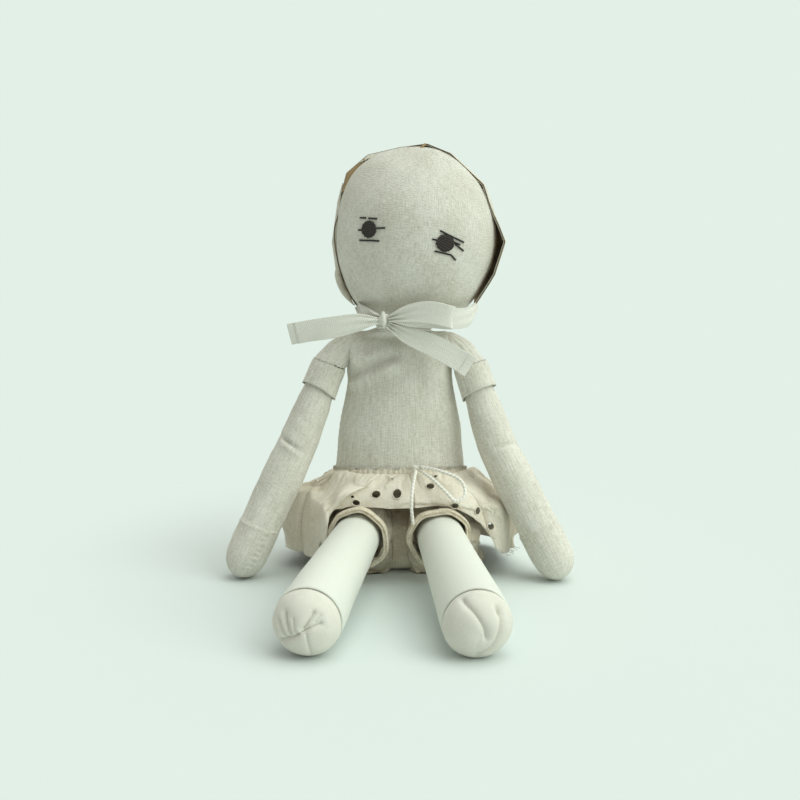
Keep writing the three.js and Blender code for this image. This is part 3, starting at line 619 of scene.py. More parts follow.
LENS, SENSOR = 53.1, 36  # in millimetres
CAMERA_AT, CAMERA_TURN = (0, -0.8581, 0.2686), 80.5  # 9.5 degrees below level
SUNS = {  # strength, then height, side and spread in degrees
    "window": (1.44, 72, 75, 60), "white_wall": (1.4, 28, 58, 50),
}
SUN_TINT = "F5FFF8"
SKY, SKY_TINT = 0.52, "FFFFF8"
SKY_LEVEL, SKY_UP, SKY_BACK = 0.6, 0.6, 0.42  # share from every side, more from above, more from behind
SKY_LEAST = 0.1
FLOOR_HALF, FLOOR_DROP = 3, 0.0003  # the floor lies a hair under the doll
FADE_SHIFT, FADE_SHAPE = (0, 0.06, 0), (1, 0.75, 1)  # its middle lies in front, and it is longer fore and aft
FADE_SPAN = (0.15, 0.32)  # metres from its middle


class DOLL_OT_stage(bpy.types.Operator):
    """Camera, soft lights, floor and background"""

    bl_idname = "doll.stage"
    bl_label = "Stage"

    def execute(self, context):
        scene = context.scene
        scene.view_settings.view_transform = "Standard"
        camera = bpy.data.objects.new("camera", bpy.data.cameras.new("camera"))
        camera.data.lens = LENS
        camera.data.sensor_width = SENSOR
        camera.location = CAMERA_AT
        camera.rotation_euler = (math.radians(CAMERA_TURN), 0, 0)
        scene.collection.objects.link(camera)
        scene.camera = camera
        for name, (strength, height, side, spread) in SUNS.items():
            sun = bpy.data.objects.new(name, bpy.data.lights.new(name, "SUN"))
            sun.data.energy = strength
            sun.data.angle = math.radians(spread)
            sun.data.color = linear(SUN_TINT)[:3]
            sun.rotation_euler = (math.radians(90 - height), 0, math.radians(side))
            scene.collection.objects.link(sun)
        self.background(scene)
        self.floor(scene)
        return {"FINISHED"}

    def background(self, scene):
        """Soft light, more of it from above and behind; the camera sees the plain backdrop instead."""
        world = bpy.data.worlds.new("studio")
        scene.world = world
        world.use_nodes = True
        tree = world.node_tree
        light = tree.nodes["Background"]
        light.inputs["Color"].default_value = linear(SKY_TINT)
        around = node(tree, "TexCoord").outputs["Generated"]
        way = node(tree, "VectorMath", {0: around, 1: (0, SKY_BACK, SKY_UP)}, operation="DOT_PRODUCT")
        level = maths(tree, "ADD", way.outputs["Value"], SKY_LEVEL)
        level = maths(tree, "MAXIMUM", level, SKY_LEAST)
        level = maths(tree, "MULTIPLY", level, SKY)
        tree.links.new(level, light.inputs["Strength"])
        shown = node(tree, "Background", {"Color": colours().backdrop, "Strength": 1.0})
        path = node(tree, "LightPath").outputs
        seen = maths(tree, "MAXIMUM", path["Is Camera Ray"], path["Is Glossy Ray"])
        seen = maths(tree, "MAXIMUM", seen, path["Is Transmission Ray"])
        mix = node(tree, "MixShader", {0: seen, 1: light.outputs[0], 2: shown.outputs[0]})
        tree.links.new(mix.outputs[0], tree.nodes["World Output"].inputs["Surface"])

    def floor(self, scene):
        """Painted board: matt, and fading into the background away from the doll."""
        painted = bpy.data.materials.new("matt painted board")
        painted.use_nodes = True
        tree = painted.node_tree
        shader = tree.nodes["Principled BSDF"]
        level = sum(sun[0] * math.sin(math.radians(sun[1])) / math.pi for sun in SUNS.values())
        over = SKY * (SKY_LEVEL + SKY_UP * 2 / 3)
        light = [level * a + over * b for a, b in zip(linear(SUN_TINT), linear(SKY_TINT))]
        paint = [min(shade / full, 0.95) for shade, full in zip(colours().backdrop, light)]
        shader.inputs["Base Color"].default_value = paint[:3] + [1.0]
        shader.inputs["Roughness"].default_value = 0.95
        shader.inputs["Specular IOR Level"].default_value = 0.1
        glow = node(tree, "Emission", {"Color": colours().backdrop, "Strength": 1.0})
        place = node(tree, "TexCoord").outputs["Object"]
        away = vectors(tree, "MULTIPLY", vectors(tree, "ADD", place, FADE_SHIFT), FADE_SHAPE)
        away = node(tree, "VectorMath", {0: away}, operation="LENGTH").outputs["Value"]
        fade = node(tree, "MapRange", {"Value": away, "From Min": FADE_SPAN[0], "From Max": FADE_SPAN[1]},
                    interpolation_type="SMOOTHSTEP")
        mix = node(tree, "MixShader", {0: fade.outputs[0], 1: shader.outputs[0], 2: glow.outputs[0]})
        tree.links.new(mix.outputs[0], tree.nodes["Material Output"].inputs["Surface"])
        mesh = bpy.data.meshes.new("floor")
        corners = [(x * FLOOR_HALF, y * FLOOR_HALF, 0) for x, y in ((-1, -1), (1, -1), (1, 1), (-1, 1))]
        mesh.from_pydata(corners, [], [(0, 1, 2, 3)])
        board = bpy.data.objects.new("floor", mesh)
        board.location.z = -FLOOR_DROP
        board.data.materials.append(painted)
        scene.collection.objects.link(board)


# Drawstring


class DOLL_OT_drawstring(bpy.types.Operator):
    """Twisted cotton drawstring: its knot, its tail and its loop"""

    bl_idname = "doll.drawstring"
    bl_label = "Drawstring"

    def execute(self, context):
        knot = self.knot()
        radius = sizes().cord / MM / 2
        routes = {"drawstring_tail": (CORD_TAIL, "bare"), "drawstring_loop": (CORD_LOOP, "object")}
        for name, (route, far_end) in routes.items():
            line = even(spline(route, 200), 70)
            made = tube(name, line, radius, material("cord"), 10)
            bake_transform(made)
            dress(made, None, "cotton_cord", name)
        dress(knot, "torso", "cotton_cord", "drawstring_knot")
        return {"FINISHED"}

    def knot(self):
        """An overhand knot: a trefoil drawn tight."""
        t = angles(90)
        x = np.sin(t) + 2 * np.sin(2 * t)
        z = np.cos(t) - 2 * np.cos(2 * t)
        y = -np.sin(3 * t)
        line = np.stack([x * 0.75, y * 0.9, z * 0.75], axis=1) + np.array(CORD_KNOT)
        line = np.vstack([line, line[:1]])
        return tube("drawstring_knot", line, 0.95, material("cord"), 10)


# Trunk

CHEST_FOLDS = [  # pulls from the armholes: line, depth, width
    ([(-37, -15, 146), (-29, -22, 150), (-18, -26, 156), (-5, -28, 161)], 7.4, 3.2),
    ([(-38, -14, 139), (-30, -21, 144), (-20, -26, 149), (-6, -28, 154)], -3.0, 3.4),
    ([(-30, -18, 165), (-20, -23, 164), (-10, -25, 166)], 1.0, 2.6),
    ([(21, -27, 150), (27, -25, 146), (33, -20, 141)], 1.3, 2.2),
    ([(24, -26, 142), (32, -21, 138)], 0.9, 2.0),
    ([(37, -13, 150), (30, -21, 156), (22, -25, 162)], 1.2, 2.8),
    ([(38, 5, 148), (26, 19, 152), (10, 23, 155)], 1.3, 3.0),
    ([(-38, 5, 148), (-26, 19, 152), (-10, 23, 155)], 1.3, 3.0),
]
SHOULDER_PUFF = [  # line on the right side, how far the cloth stands out there, width
    ([(-31, 4, 171), (-33, -5, 172), (-33, -13, 167), (-32, -18, 158)], 4.0, 5.5),
    ([(-38, -3, 169), (-39.5, -9, 165), (-39.5, -13, 159), (-39, -14, 150)], -7.0, 3.2),
]
COLLAR = [(177.4, 22, 17, -7), (179.5, 17, 16, -8), (180.5, 15, 14.5, -8)]
BODICE_END, SEAT_END = 64, 76  # the two overlap under the skirt's casing
SEAT_HOLLOW = 26  # how far the seat sinks back under the front of the skirt
LEG_LEANS = (6, 16, 26)  # degrees outwards
LEG_ROOM = ([0, 20, 45], [18.0, 20.5, 23.0])  # distance along the leg, and the room round it there


class DOLL_OT_trunk(bpy.types.Operator):
    """Bodice, and the seat of the bloomers"""

    bl_idname = "doll.trunk"
    bl_label = "Trunk"

    def execute(self, context):
        self.bodice()
        self.seat()
        return {"FINISHED"}

    def bodice(self):
        """The stuffed skin of the trunk, gathered at the waist and pulled at the armholes."""
        stations = profile([row for row in TRUNK if 45 <= row[0] < 175] + COLLAR, 130)
        phi = angles(160)
        rows = ring_rows(stations[stations[:, 0] > BODICE_END], phi)
        z = rows[:, :, 2]
        bulge = (0.7 * lumps(rows, 34, 1) + 0.35 * lumps(rows, 13, 2)) * step(181, 172, z)
        gathers = np.cos(34 * phi + 1.5 * np.sin(5 * phi))[None, :] * np.exp(-(z - 66) / 9) * 0.9
        side = np.minimum(np.abs(phi - np.pi / 2), np.abs(phi - 3 * np.pi / 2))[None, :] * 40
        seams = pucker(side, z, 0.55, 5.5, 2.2)
        folds = np.zeros_like(z)
        for line, depth, width in CHEST_FOLDS:
            folds += crease(rows, line, depth, width)
        for s in SIDES.values():  # the corner at each armhole puffs out, behind a short crease
            for line, high, wide in SHOULDER_PUFF:
                folds += high * bell(reach(rows, [(s * x, y, z) for x, y, z in line]), wide)
        rows = raised(rows, bulge + gathers + seams + folds)
        made = surface("bodice", rows, material("linen"), ring=True)
        dress(made, "torso", "linen", "bodice", "torso_stuffing")

    def seat(self):
        """The seat of the bloomers, flat on the floor and hollow under the skirt."""
        stations = profile([row for row in TRUNK if row[0] <= 104], 80)
        stations = stations[stations[:, 0] < SEAT_END]
        base = stations[0]
        inner = [(base[0], base[1] * f, base[2] * f, base[3]) for f in (0.02, 0.3, 0.6, 0.85)]
        rows = ring_rows(np.vstack([inner, stations]), angles(144))
        soft = 0.9 * lumps(rows, 22, 5) + 0.5 * lumps(rows, 8, 6)
        soft *= step(0.5, 6, rows[:, :, 2])
        rows = raised(rows, soft)
        for side, s in SIDES.items():
            rows = self.dented(rows, side, s)
        x, y, z = (rows[:, :, k] for k in range(3))
        lap = bell(x, 24) * step(34, 52, z) * step(0, -14, y)
        y += SEAT_HOLLOW * lap * step(SEAT_END, 66, z)
        rows[:, :, 2] = np.maximum(z, 0.05)
        made = surface("bloomers_seat", rows, material("bloomers"), ring=True)
        dress(made, "torso", "bloomer_cotton", "bloomers_seat")

    def dented(self, rows, side, s):
        """The seat gives way where the leg hangs down or lies forward: points move out of the leg's room."""
        hip = np.array(HIP[side], float)
        for lean in LEG_LEANS:
            aside = -s * math.sin(math.radians(lean))
            for way in ((aside, 0, -math.cos(math.radians(lean))), (aside, -0.72, -0.69), (aside, -1, 0)):
                axis = np.array(way) / np.linalg.norm(way)
                off = rows - hip
                run = np.clip(off @ axis, 0, None)
                from_axis = off - run[:, :, None] * axis
                far = np.linalg.norm(from_axis, axis=2)
                push = np.clip(np.interp(run, *LEG_ROOM) - far, 0, None)
                rows = rows + from_axis / np.maximum(far, 1e-6)[:, :, None] * push[:, :, None]
        return rows


# Neck and head

NECK_STALK = [(-14, 16.5, 14), (-8, 14, 12), (-3, 12, 11), (2, 11, 10.5), (8, 7, 7), (10.4, 1, 1)]
HEAD_FILL = [  # degrees round from the crown, how far the head swells there towards the bonnet's edge
    (-160, 0), (-145, 3), (-120, 1.8), (-95, 1), (-78, 2.6), (-58, 4.6), (-40, 4), (-20, 3.2), (0, 4.2),
    (15, 3.2), (40, 1.6), (60, 0.9), (78, 0.2), (92, 0),
]
EYES = {  # middle, then straight stitches, across and up on the face
    "right": ((-28.2, 63.6), [
        ((-37, 70), (-32, 70.8)), ((-30, 70.9), (-23.5, 71.7)), ((-22.4, 65.4), (-16.2, 66.8)),
        ((-36.5, 61.5), (-34, 62)), ((-34, 54.9), (-26.5, 56)), ((-26, 56.2), (-18.8, 57.3))]),
    "left": ((25.7, 64.6), [
        ((21, 72.2), (37, 67.4)), ((31.4, 66.2), (35, 65.4)), ((32.1, 65.2), (37.8, 61.7)),
        ((17.1, 65.6), (20, 65.5)), ((20.1, 58), (30.8, 57.5)), ((30.9, 57.4), (34, 54.6))]),
}
EYE_TILT = {"right": 72, "left": 64}  # the way the stitches lie, in degrees
EYE_PITCH, EYE_STRAND, LASH = 0.75, 0.45, 0.62  # distance between strands, then radii
NECK_RING, NECK_RING_UP = 13.2, 2.6  # radius, and height over the neck's pivot


class DOLL_OT_head(bpy.types.Operator):
    """Neck, stuffed head in two halves, and the embroidered eyes"""

    bl_idname = "doll.head"
    bl_label = "Head"

    def execute(self, context):
        self.neck()
        for name, start, nodes in (("face_panel", -90, ["head_stuffing"]), ("head_back", 90, [])):
            made = surface(name, self.half(start), material("crepe"))
            dress(made, "head", "linen", name, *nodes)
        for side, s in SIDES.items():
            self.eye(side, s)
        return {"FINISHED"}

    def neck(self):
        """The gathered stalk of the neck, and the seam round it."""
        phi = angles(64)
        rows = ring_rows(profile(NECK_STALK, 30), phi)
        rows = raised(rows, 0.8 * np.cos(18 * phi + np.sin(3 * phi))[None, :])
        made = surface("neck_stalk", rows + np.array(NECK), material("linen"), ring=True)
        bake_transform(made)
        dress(made, None, "linen", "neck_stalk")
        phi = angles(120)
        high = NECK_RING_UP + 0.5 * np.cos(15 * phi)
        ring = np.stack([NECK_RING * np.sin(phi), -NECK_RING * np.cos(phi), high], axis=1)
        ring = np.vstack([ring, ring[:1]]) + np.array(NECK)
        thick = 2.2 + 0.4 * np.cos(30 * np.linspace(0, 2 * np.pi, len(ring)))
        made = tube("neck_ring", ring, thick, material("linen"), 12)
        dress(made, "neck_seam", "linen", "neck_ring")

    def half(self, start):
        """Half of the head's skin, puckered along its seam and full beside the bonnet."""
        phi = np.radians(np.linspace(start, start + 180, 97))
        rows = head_rows(phi)
        edge = np.minimum(phi - phi[0], phi[-1] - phi)[None, :] * 48
        y, z = rows[:, :, 1], rows[:, :, 2]
        field = pucker(edge, z, 0.7, 6.0, 2.0) + 0.55 * lumps(rows, 30, 11) + 0.2 * lumps(rows, 11, 12)
        field *= step(0, 10, edge + 2)
        field += pucker(edge, z, 0.55, 6.0, 1.6) * 0.5
        field += 0.9 * np.cos(22 * phi)[None, :] * bell(z - 6, 5)
        around = np.degrees(np.arctan2(rows[:, :, 0], z - BONNET_CENTRE[1]))
        field += np.interp(around, *zip(*HEAD_FILL)) * bell(y + 8, 15) * step(3, -9, y)
        return on_head(raised(rows, field, ring=False))

    def eye(self, side, s):
        """A disc of close satin stitches and a few straight stitches beside it."""
        centre, stitches = EYES[side]
        radius = sizes().eye / MM
        parts = []
        tilt = math.radians(EYE_TILT[side])
        along = np.array([math.cos(tilt), math.sin(tilt)])
        across = np.array([-along[1], along[0]])
        for layer, lean in ((0.35, 0.0), (0.8, 0.3)):
            way = along * math.cos(lean) + across * math.sin(lean)
            beside = np.array([-way[1], way[0]])
            for k in np.arange(-radius + 0.3, radius, EYE_PITCH):
                ragged = [0.7 * noise.noise((k * 1.7, layer * 9 + end, s * -3.0)) for end in (0, 4)]
                half = math.sqrt(max(radius ** 2 - k ** 2, 0.15))
                run = np.linspace(-half - ragged[0], half + ragged[1], 9)[:, None]
                flat = np.array(centre) + beside * k + way * run
                lift = layer + 0.25 * noise.noise((k * 3.1, 2.0, layer))
                parts.append(tube("strand", on_face(flat, lift), EYE_STRAND, material("eye"), 6))
        lashes = []
        for a, b in stitches:
            lashes.append(tube("stitch", on_face(np.linspace(a, b, 7), 0.45), LASH, material("stitch"), 6))
        dress(joined(f"{side}_eye", parts), "head", "embroidery", f"{side}_eye")
        dress(joined(f"{side}_eye_stitches", lashes), "head", "embroidery")


def head_rows(phi):
    """The head's own outline about its neck pivot, before it is tilted."""
    return ring_rows(profile(HEAD, 90), phi)


def on_face(flat, raised):
    """Points across and up on the face as places on its cloth."""
    shape = profile(HEAD, 240)
    wide = np.interp(flat[:, 1], shape[:, 0], shape[:, 1])
    deep = np.interp(flat[:, 1], shape[:, 0], shape[:, 2])
    middle = np.interp(flat[:, 1], shape[:, 0], shape[:, 4])
    y = -deep * np.sqrt(np.maximum(1 - ((flat[:, 0] - middle) / wide) ** 2, 0)) - raised
    return on_head(np.stack([flat[:, 0], y, flat[:, 1]], axis=1))


# Bonnet

BONNET_CROWN = 0.06  # share of its outline to which the back is drawn together
ROLL_END = 78  # the point of the front edge where its roll runs out
BONNET_DART = [(-14, -16, 119.5), (-11, -13.5, 123.5), (-8, -10, 128.5)]
THIN_CLOTH = 0.0007  # of folds and sleeves, in metres


class DOLL_OT_bonnet(bpy.types.Operator):
    """Two linen panels of the bonnet, with the rolled hem of its front edge"""

    bl_idname = "doll.bonnet"
    bl_label = "Bonnet"

    def execute(self, context):
        spans = {"bonnet_right": (0, BONNET_PEAK + 1), "bonnet_left": (BONNET_PEAK, len(BONNET_EDGE))}
        for name, (first, last) in spans.items():
            edge = even(np.array(BONNET_EDGE[first:last], float), 96)
            rows = self.drawn_in(self.panel(edge), edge)
            made = surface(name, on_head(rows), material("bonnet"))
            # the inside of each panel takes the darker lining colour: painted shade
            thicken(made, sizes().cloth, True, material("shade_lining"))
            dress(made, "head", "bonnet_linen", name)
        self.hem()
        return {"FINISHED"}

    def panel(self, edge):
        """Half of the bonnet: its front edge carried back round the head and drawn together."""
        turns = np.linspace(0, math.pi / 2, 60)
        middle = np.array(BONNET_CENTRE, float)
        rows = []
        for t in turns:
            scale = math.cos(t) * (1 - BONNET_CROWN) + BONNET_CROWN
            back = BONNET_FRONT + (BONNET_BACK - BONNET_FRONT) * math.sin(t)
            flat = middle + (edge - middle) * scale
            rows.append(np.stack([flat[:, 0], np.full(len(edge), back), flat[:, 1]], axis=1))
        rows = np.array(rows)
        share = np.linspace(0, 1, len(turns))[:, None]
        run = np.linspace(0, 1, len(edge))[None, :]
        soft = lumps(rows, 26, 21) + 0.9 * lumps(rows * np.array([1, 0.45, 1]), 9, 22) * step(0, 0.2, share)
        soft += 1.3 * np.cos(26 * run * np.pi + 2 * lumps(rows, 20, 23)) * step(0.55, 1, share)
        soft *= step(-0.05, 0.12, share)
        return raised(rows, np.clip(soft, -0.6, 3), ring=False, flip=True)

    def drawn_in(self, rows, edge):
        """The front edge lies close to the head, except on the left side where it stands away."""
        share = np.linspace(0, 1, len(rows))[:, None, None]
        inward = np.array(BONNET_CENTRE, float) - edge
        inward /= np.linalg.norm(inward, axis=1, keepdims=True)
        close = 1.3 * (1 - step(44, 56, edge[:, 0]) * step(112, 96, edge[:, 1])) * step(8, 30, edge[:, 1])
        pull = np.stack([inward[:, 0] * close, 0 * close, inward[:, 1] * close], axis=1)
        return rows + pull[None] * step(0.16, 0.0, share)

    def hem(self):
        """The front edge: a dark brown line of painted shade along it and another beside the right of the
        face, a soft roll down the right side, a folded corner and a dart.
        """
        edge = even(np.array(BONNET_EDGE, float), 260)
        line = np.stack([edge[:, 0], np.full(len(edge), BONNET_FRONT - 0.3), edge[:, 1]], axis=1)
        line = self.drawn_in(np.array([line, line]), edge)[0]
        # a dark brown line along the edge: painted shade of the bonnet's inside
        self.trim("bonnet_hem", line, 0.42, "edge")
        # a dark brown line beside the face: painted shadow between face and bonnet
        shadow_line = np.array([(x, BONNET_FRONT - 4, z) for x, z in BONNET_SHADOW_LINE])
        self.trim("bonnet_turning", spline(shadow_line, 80), 0.36, "edge")
        span = line[:ROLL_END]
        place = np.arange(len(span))
        radius = 0.4 + 2.1 * step(0, 9, place) * step(ROLL_END, 50, place)
        sag = 3.5 * np.sin(np.pi * np.clip(place / 24, 0, 1))
        roll = span + self.inward(span) * (radius - 1.2 - sag)[:, None] + np.array([0, -0.8, 0])
        self.trim("bonnet_roll", roll, radius, "bonnet", 12)
        # fold and dart take the darker lining colour: painted shade
        self.fold("bonnet_fold", line[72:99], 8.0, "shade_lining")
        self.fold("bonnet_flap", line[94:128], 4.5, "bonnet")
        self.trim("bonnet_dart", spline(BONNET_DART, 16), np.linspace(0.2, 0.9, 16), "shade_lining")

    def trim(self, name, line, radius, cloth, sides=8):
        """A round edge or roll along a line on the bonnet."""
        dress(tube(name, on_head(line), radius, material(cloth), sides), "head", "bonnet_linen")

    def inward(self, span):
        """The way from each point of the front edge to the middle of the face."""
        way = np.array([BONNET_CENTRE[0], BONNET_FRONT, BONNET_CENTRE[1]]) - span
        return way / np.linalg.norm(way, axis=1, keepdims=True)

    def fold(self, name, span, depth, cloth):
        """A corner of the front edge turned over onto the head."""
        run = np.linspace(0, 1, len(span))[:, None]
        inward = self.inward(span)
        deep = depth * np.sin(np.pi * run) + 0.4
        rows = []
        for w in np.linspace(0, 1, 9):
            rows.append(span + inward * deep * w - np.array([0, 1, 0]) * (0.6 + 4.4 * w - 2.0 * w * w))
        made = surface(name, on_head(np.array(rows)), material(cloth), flip=True)
        # the fold's underside takes the darker lining colour: painted shade
        thicken(made, THIN_CLOTH, True, material("shade_lining"))
        dress(made, "head", "bonnet_linen")


# Tie

BAND_FRONT, BAND_BACK, BAND_SIDE = 31, 17, 18.7  # how far the band reaches from the neck's middle
BAND_FOOT, BAND_TALL = 175.4, 5.6


class DOLL_OT_tie(bpy.types.Operator):
    """Twill tape that ties the bonnet: strands, knot, loop, tails and the band round the neck"""

    bl_idname = "doll.tie"
    bl_label = "Tie"

    def execute(self, context):
        for name, (across, stations) in TAPE_ROUTES.items():
            rows, run = self.ribbon(np.array(across, float), np.array(stations, float), name)
            made = surface(name, rows, material("tape"))
            thicken(made, sizes().tape_thickness, False)
            if "tail" in name:
                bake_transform(made)
                dress(made, None, "twill_tape", name)
            else:
                dress(made, "head", "twill_tape", name)
        self.knot()
        self.band()
        return {"FINISHED"}

    def ribbon(self, across, stations, name):
        """The tape along its route, gathered where it is narrow, and the length of the route."""
        line = even(spline(stations, 160), 90)
        along = np.gradient(line[:, :3], axis=0)
        along /= np.linalg.norm(along, axis=1, keepdims=True)
        face = np.cross(along, across)
        face /= np.linalg.norm(face, axis=1, keepdims=True)
        side = np.cross(face, along)
        w = np.linspace(-1, 1, 33)[None, :, None]
        share = line[:, 3][:, None, None]
        half = sizes().tape_width / MM / 2
        rows = line[:, None, :3] + side[:, None] * w * half * share
        fold = (1 - share) * 2.2 * np.cos(2.5 * np.pi * (w + 0.15))
        sway = 0.7 * np.sin(np.linspace(0, 3.2, len(line)))[:, None, None] * w + 0.5 * w ** 2
        rows = rows + face[:, None] * (fold + sway)
        if "tail" in name:
            run = np.linspace(0, 1, len(line))
            hem = step(0.915, 0.92, run)[:, None, None] * 0.7
            rows = rows + face[:, None] * hem
        return rows, run_length(line[:, :3])

    def knot(self):
        """The turn of tape that holds the tie together, drawn into pleats."""
        t = np.linspace(0, np.pi, 40)
        phi = angles(72)
        pleats = 1 + 0.09 * np.cos(7 * phi) + 0.04 * np.cos(3 * phi + 1)
        x = KNOT_SIZE[0] * 0.6 * np.cos(t)[:, None] * np.ones_like(phi)
        ring = np.sin(t)[:, None] ** 0.8 * pleats
        y, z = -KNOT_SIZE[1] * 0.8 * ring * np.cos(phi), KNOT_SIZE[2] * 0.75 * ring * np.sin(phi)
        rows = np.stack([x, y, z], axis=2)
        rows = raised(rows, 0.3 * lumps(rows, 3, 41), flip=True)
        core = surface("knot", placed(rows, turn("y", 65), KNOT), material("tape"), ring=True, flip=True)
        wrap = np.linspace(-2.0, 2.0, 40)
        round_it = wrap * 0.72
        line = np.stack([1.5 * np.sin(wrap * 0.6), -4.2 * np.cos(round_it), 4.6 * np.sin(round_it)], axis=1)
        flat = tube_rows(placed(line, turn("y", -24), KNOT), 1.8 - 0.5 * np.abs(wrap) / 2, 16)
        outer = surface("wrap", flat, material("tape"), ring=True, caps=(True, True))
        dress(joined("tape_knot", [core, outer]), "head", "twill_tape", "tape_knot")

    def band(self):
        """A turn of the tape round the neck, folded along its length."""
        phi = angles(120)
        rows = []
        for w in np.linspace(0, 1, 21):
            forward = np.cos(phi) * np.where(np.cos(phi) > 0, BAND_FRONT, BAND_BACK)
            lift = 0.18 * np.maximum(0, forward)
            grow = math.cos(w * 4 * math.pi) + 0.5 * np.sin(7 * phi)
            x = NECK[0] + (BAND_SIDE + grow) * np.sin(phi)
            y = NECK[1] - forward - grow * np.cos(phi)
            rows.append(np.stack([x, y, BAND_FOOT + BAND_TALL * w + lift], axis=1))
        made = surface("tape_band", np.array(rows), material("tape"), ring=True)
        thicken(made, sizes().tape_thickness * 0.7, False)
        dress(made, "torso", "twill_tape", "tape_band")


# Arms

ELBOW_CREASE = {"right": (0.7, 1), "left": (0.9, 0.5)}  # width round the arm in radians, share of the depth
CUFF_STITCHES = 22
SHOULDER_TAB, HIP_TAB = (11.1, 6), (18.7, 7)  # how far inward from the joint, radius


class DOLL_OT_arms(bpy.types.Operator):
    """Stuffed arms with their sleeves, turned cuffs, hands and sewn-in tabs"""

    bl_idname = "doll.arms"
    bl_label = "Arms"

    def execute(self, context):
        for side, s in SIDES.items():
            self.skin(side, s)
            self.hand(side, s)
            self.sleeve(side, s)
            self.cuff(side, s)
            tab(f"{side}_shoulder_tab", SHOULDER[side], s, SHOULDER_TAB, "linen", "linen", f"{side}_shoulder")
        return {"FINISHED"}

    def bent(self, rows, side, s):
        """Rows along a straight arm, turned at the elbow and put in place."""
        along = -rows[:, :, 2]
        share = step(ELBOW - 12, ELBOW + 12, along)
        angle = math.radians(s * FOREARM_OUT[side])
        z = rows[:, :, 2] + ELBOW
        x, y = rows[:, :, 0], rows[:, :, 1]
        c, n = np.cos(angle * share), np.sin(angle * share)
        turned = np.stack([x * c + z * n, y, z * c - x * n - ELBOW], axis=2)
        return on_arm(turned, side)

    def skin(self, side, s):
        """Upper arm and forearm in one skin, creased across the inside of the elbow."""
        rows, phi, along = limb(ARM, 150)
        slack = 0.45 * lumps(rows, 16, 51 + s) + 0.25 * lumps(rows, 6, 52 + s)
        wide, depth = ELBOW_CREASE[side]
        turned = np.angle(np.exp(1j * (phi + np.radians(30 * s))))
        inner = bell(turned, wide)[None, :]
        bend = along - ELBOW - 3.0 * np.sin(phi + 0.5 * s)[None, :]
        field = slack - inner * (1.9 * bell(bend, 1.5) - bell(bend - 3.6, 2.2)) * depth
        field += 0.4 * bell(bend + 4, 3) * inner
        field += pucker(self.beside_seam(phi, 180 + 25 * s), along, 0.5, 4.5, 1.4)
        rows = self.bent(raised(rows, field, flip=True), side, s)
        made = surface(f"{side}_arm", rows, material("linen"), ring=True, caps=(True, True), flip=True)
        upper, lower = f"{side}_upper_arm", f"{side}_forearm"
        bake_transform(made)
        dress(made, None, "linen", upper, f"{upper}_stuffing", lower, f"{lower}_stuffing")

    def beside_seam(self, phi, degrees):
        """How far round the arm each point lies from a seam along it."""
        return np.abs(np.sin((phi - np.radians(degrees)) / 2))[None, :] * 2 * 14

    def hand(self, side, s):
        """The end of the arm, below a stitched ridge at the wrist."""
        rows, phi, along = limb(HAND, 70)
        ridge = 0.45 * bell(along - 136.2 - 1.6 * np.cos(phi + 1)[None, :], 0.9)
        seam = pucker(self.beside_seam(phi, 25 * s), along, 0.8, 4, 1.3)
        field = ridge + seam + 0.4 * lumps(rows, 10, 61 + s)
        rows = raised(rows, field * step(176, 170, along), flip=True)
        made = surface(f"{side}_hand", self.bent(rows, side, s), material("linen"), ring=True, flip=True)
        dress(made, f"{side}_forearm", "linen", f"{side}_hand")

    def sleeve(self, side, s):
        """The top of the arm, its cloth drawn up to the armhole."""
        rows, phi, along = limb(SLEEVE, 60)
        field = 0.8 * lumps(rows, 9, 71 + s) + 0.5 * np.cos(16 * phi)[None, :] * bell(along + 3, 5)
        rows = raised(rows, field * step(-12, -8, along), flip=True)
        rows[:, :, 0] += s * (5.5 * step(10, -8, along) + 5 * step(-2, -12, along))
        rows[:, :, 2] += 7 * step(2, -12, along)
        made = surface(f"{side}_sleeve", on_arm(rows, side), material("linen"), ring=True, flip=True)
        thicken(made, THIN_CLOTH)
        dress(made, f"{side}_upper_arm", "linen", f"{side}_sleeve")

    def cuff(self, side, s):
        """A turned band: stitched down along its top, standing free of the arm below."""
        rows, phi, along = limb(CUFF, 60)
        field = 0.35 * lumps(rows, 9, 81 + s) + 0.5 * np.sin(phi * 2 + 1)[None, :] * step(12, 28, along)
        rows = raised(rows, field, flip=True)
        dip = 1 + 1.7 * s * np.sin(phi) - 3.5 * np.maximum(np.cos(phi), 0)
        rows[:, :, 2] -= dip[None, :] * step(13, 27, along)
        made = surface(f"{side}_cuff", on_arm(rows, side), material("linen"), ring=True, flip=True)
        dress(made, f"{side}_upper_arm", "linen", f"{side}_cuff")
        dashes = {"overlock": [], "stitch": []}  # pale thread, and dark where it shows beside the armhole
        for k in range(CUFF_STITCHES):
            a = 2 * np.pi * k / CUFF_STITCHES + 0.1
            arc = a + np.linspace(-0.085, 0.085, 5)
            high = -(CUFF_TOP - 0.6) + 0.25 * np.sin(7 * a)
            line = np.stack([12.1 * np.sin(arc), -12.1 * np.cos(arc), np.full(5, high)], axis=1)
            thread = "stitch" if 0.35 < np.sin(a) * s < 0.92 and np.cos(a) > 0 else "overlock"
            dashes[thread].append(tube("dash", on_arm(line, side), 0.3, material(thread), 6))
        for thread, parts in dashes.items():
            dress(joined(f"{side}_cuff_{thread}", parts), f"{side}_upper_arm", "linen")


def tab(name, pivot, s, size, cloth, slot, body):
    """A folded tab of cloth, sewn into the trunk, on which a limb turns."""
    inward, radius = size
    outline = ((-1.1, 0.6), (-1, 0.95), (0, 1), (1, 0.95), (1.1, 0.6))
    stations = [(height, radius * share, radius * share) for height, share in outline]
    rows = ring_rows(stations, angles(40)) @ turn("y", 90).T
    rows = rows + np.array(pivot, float) + np.array([s * inward, 0, 0])
    made = surface(name, rows, material(cloth), ring=True, caps=(True, True))
    dress(made, body, slot, name)


# Legs

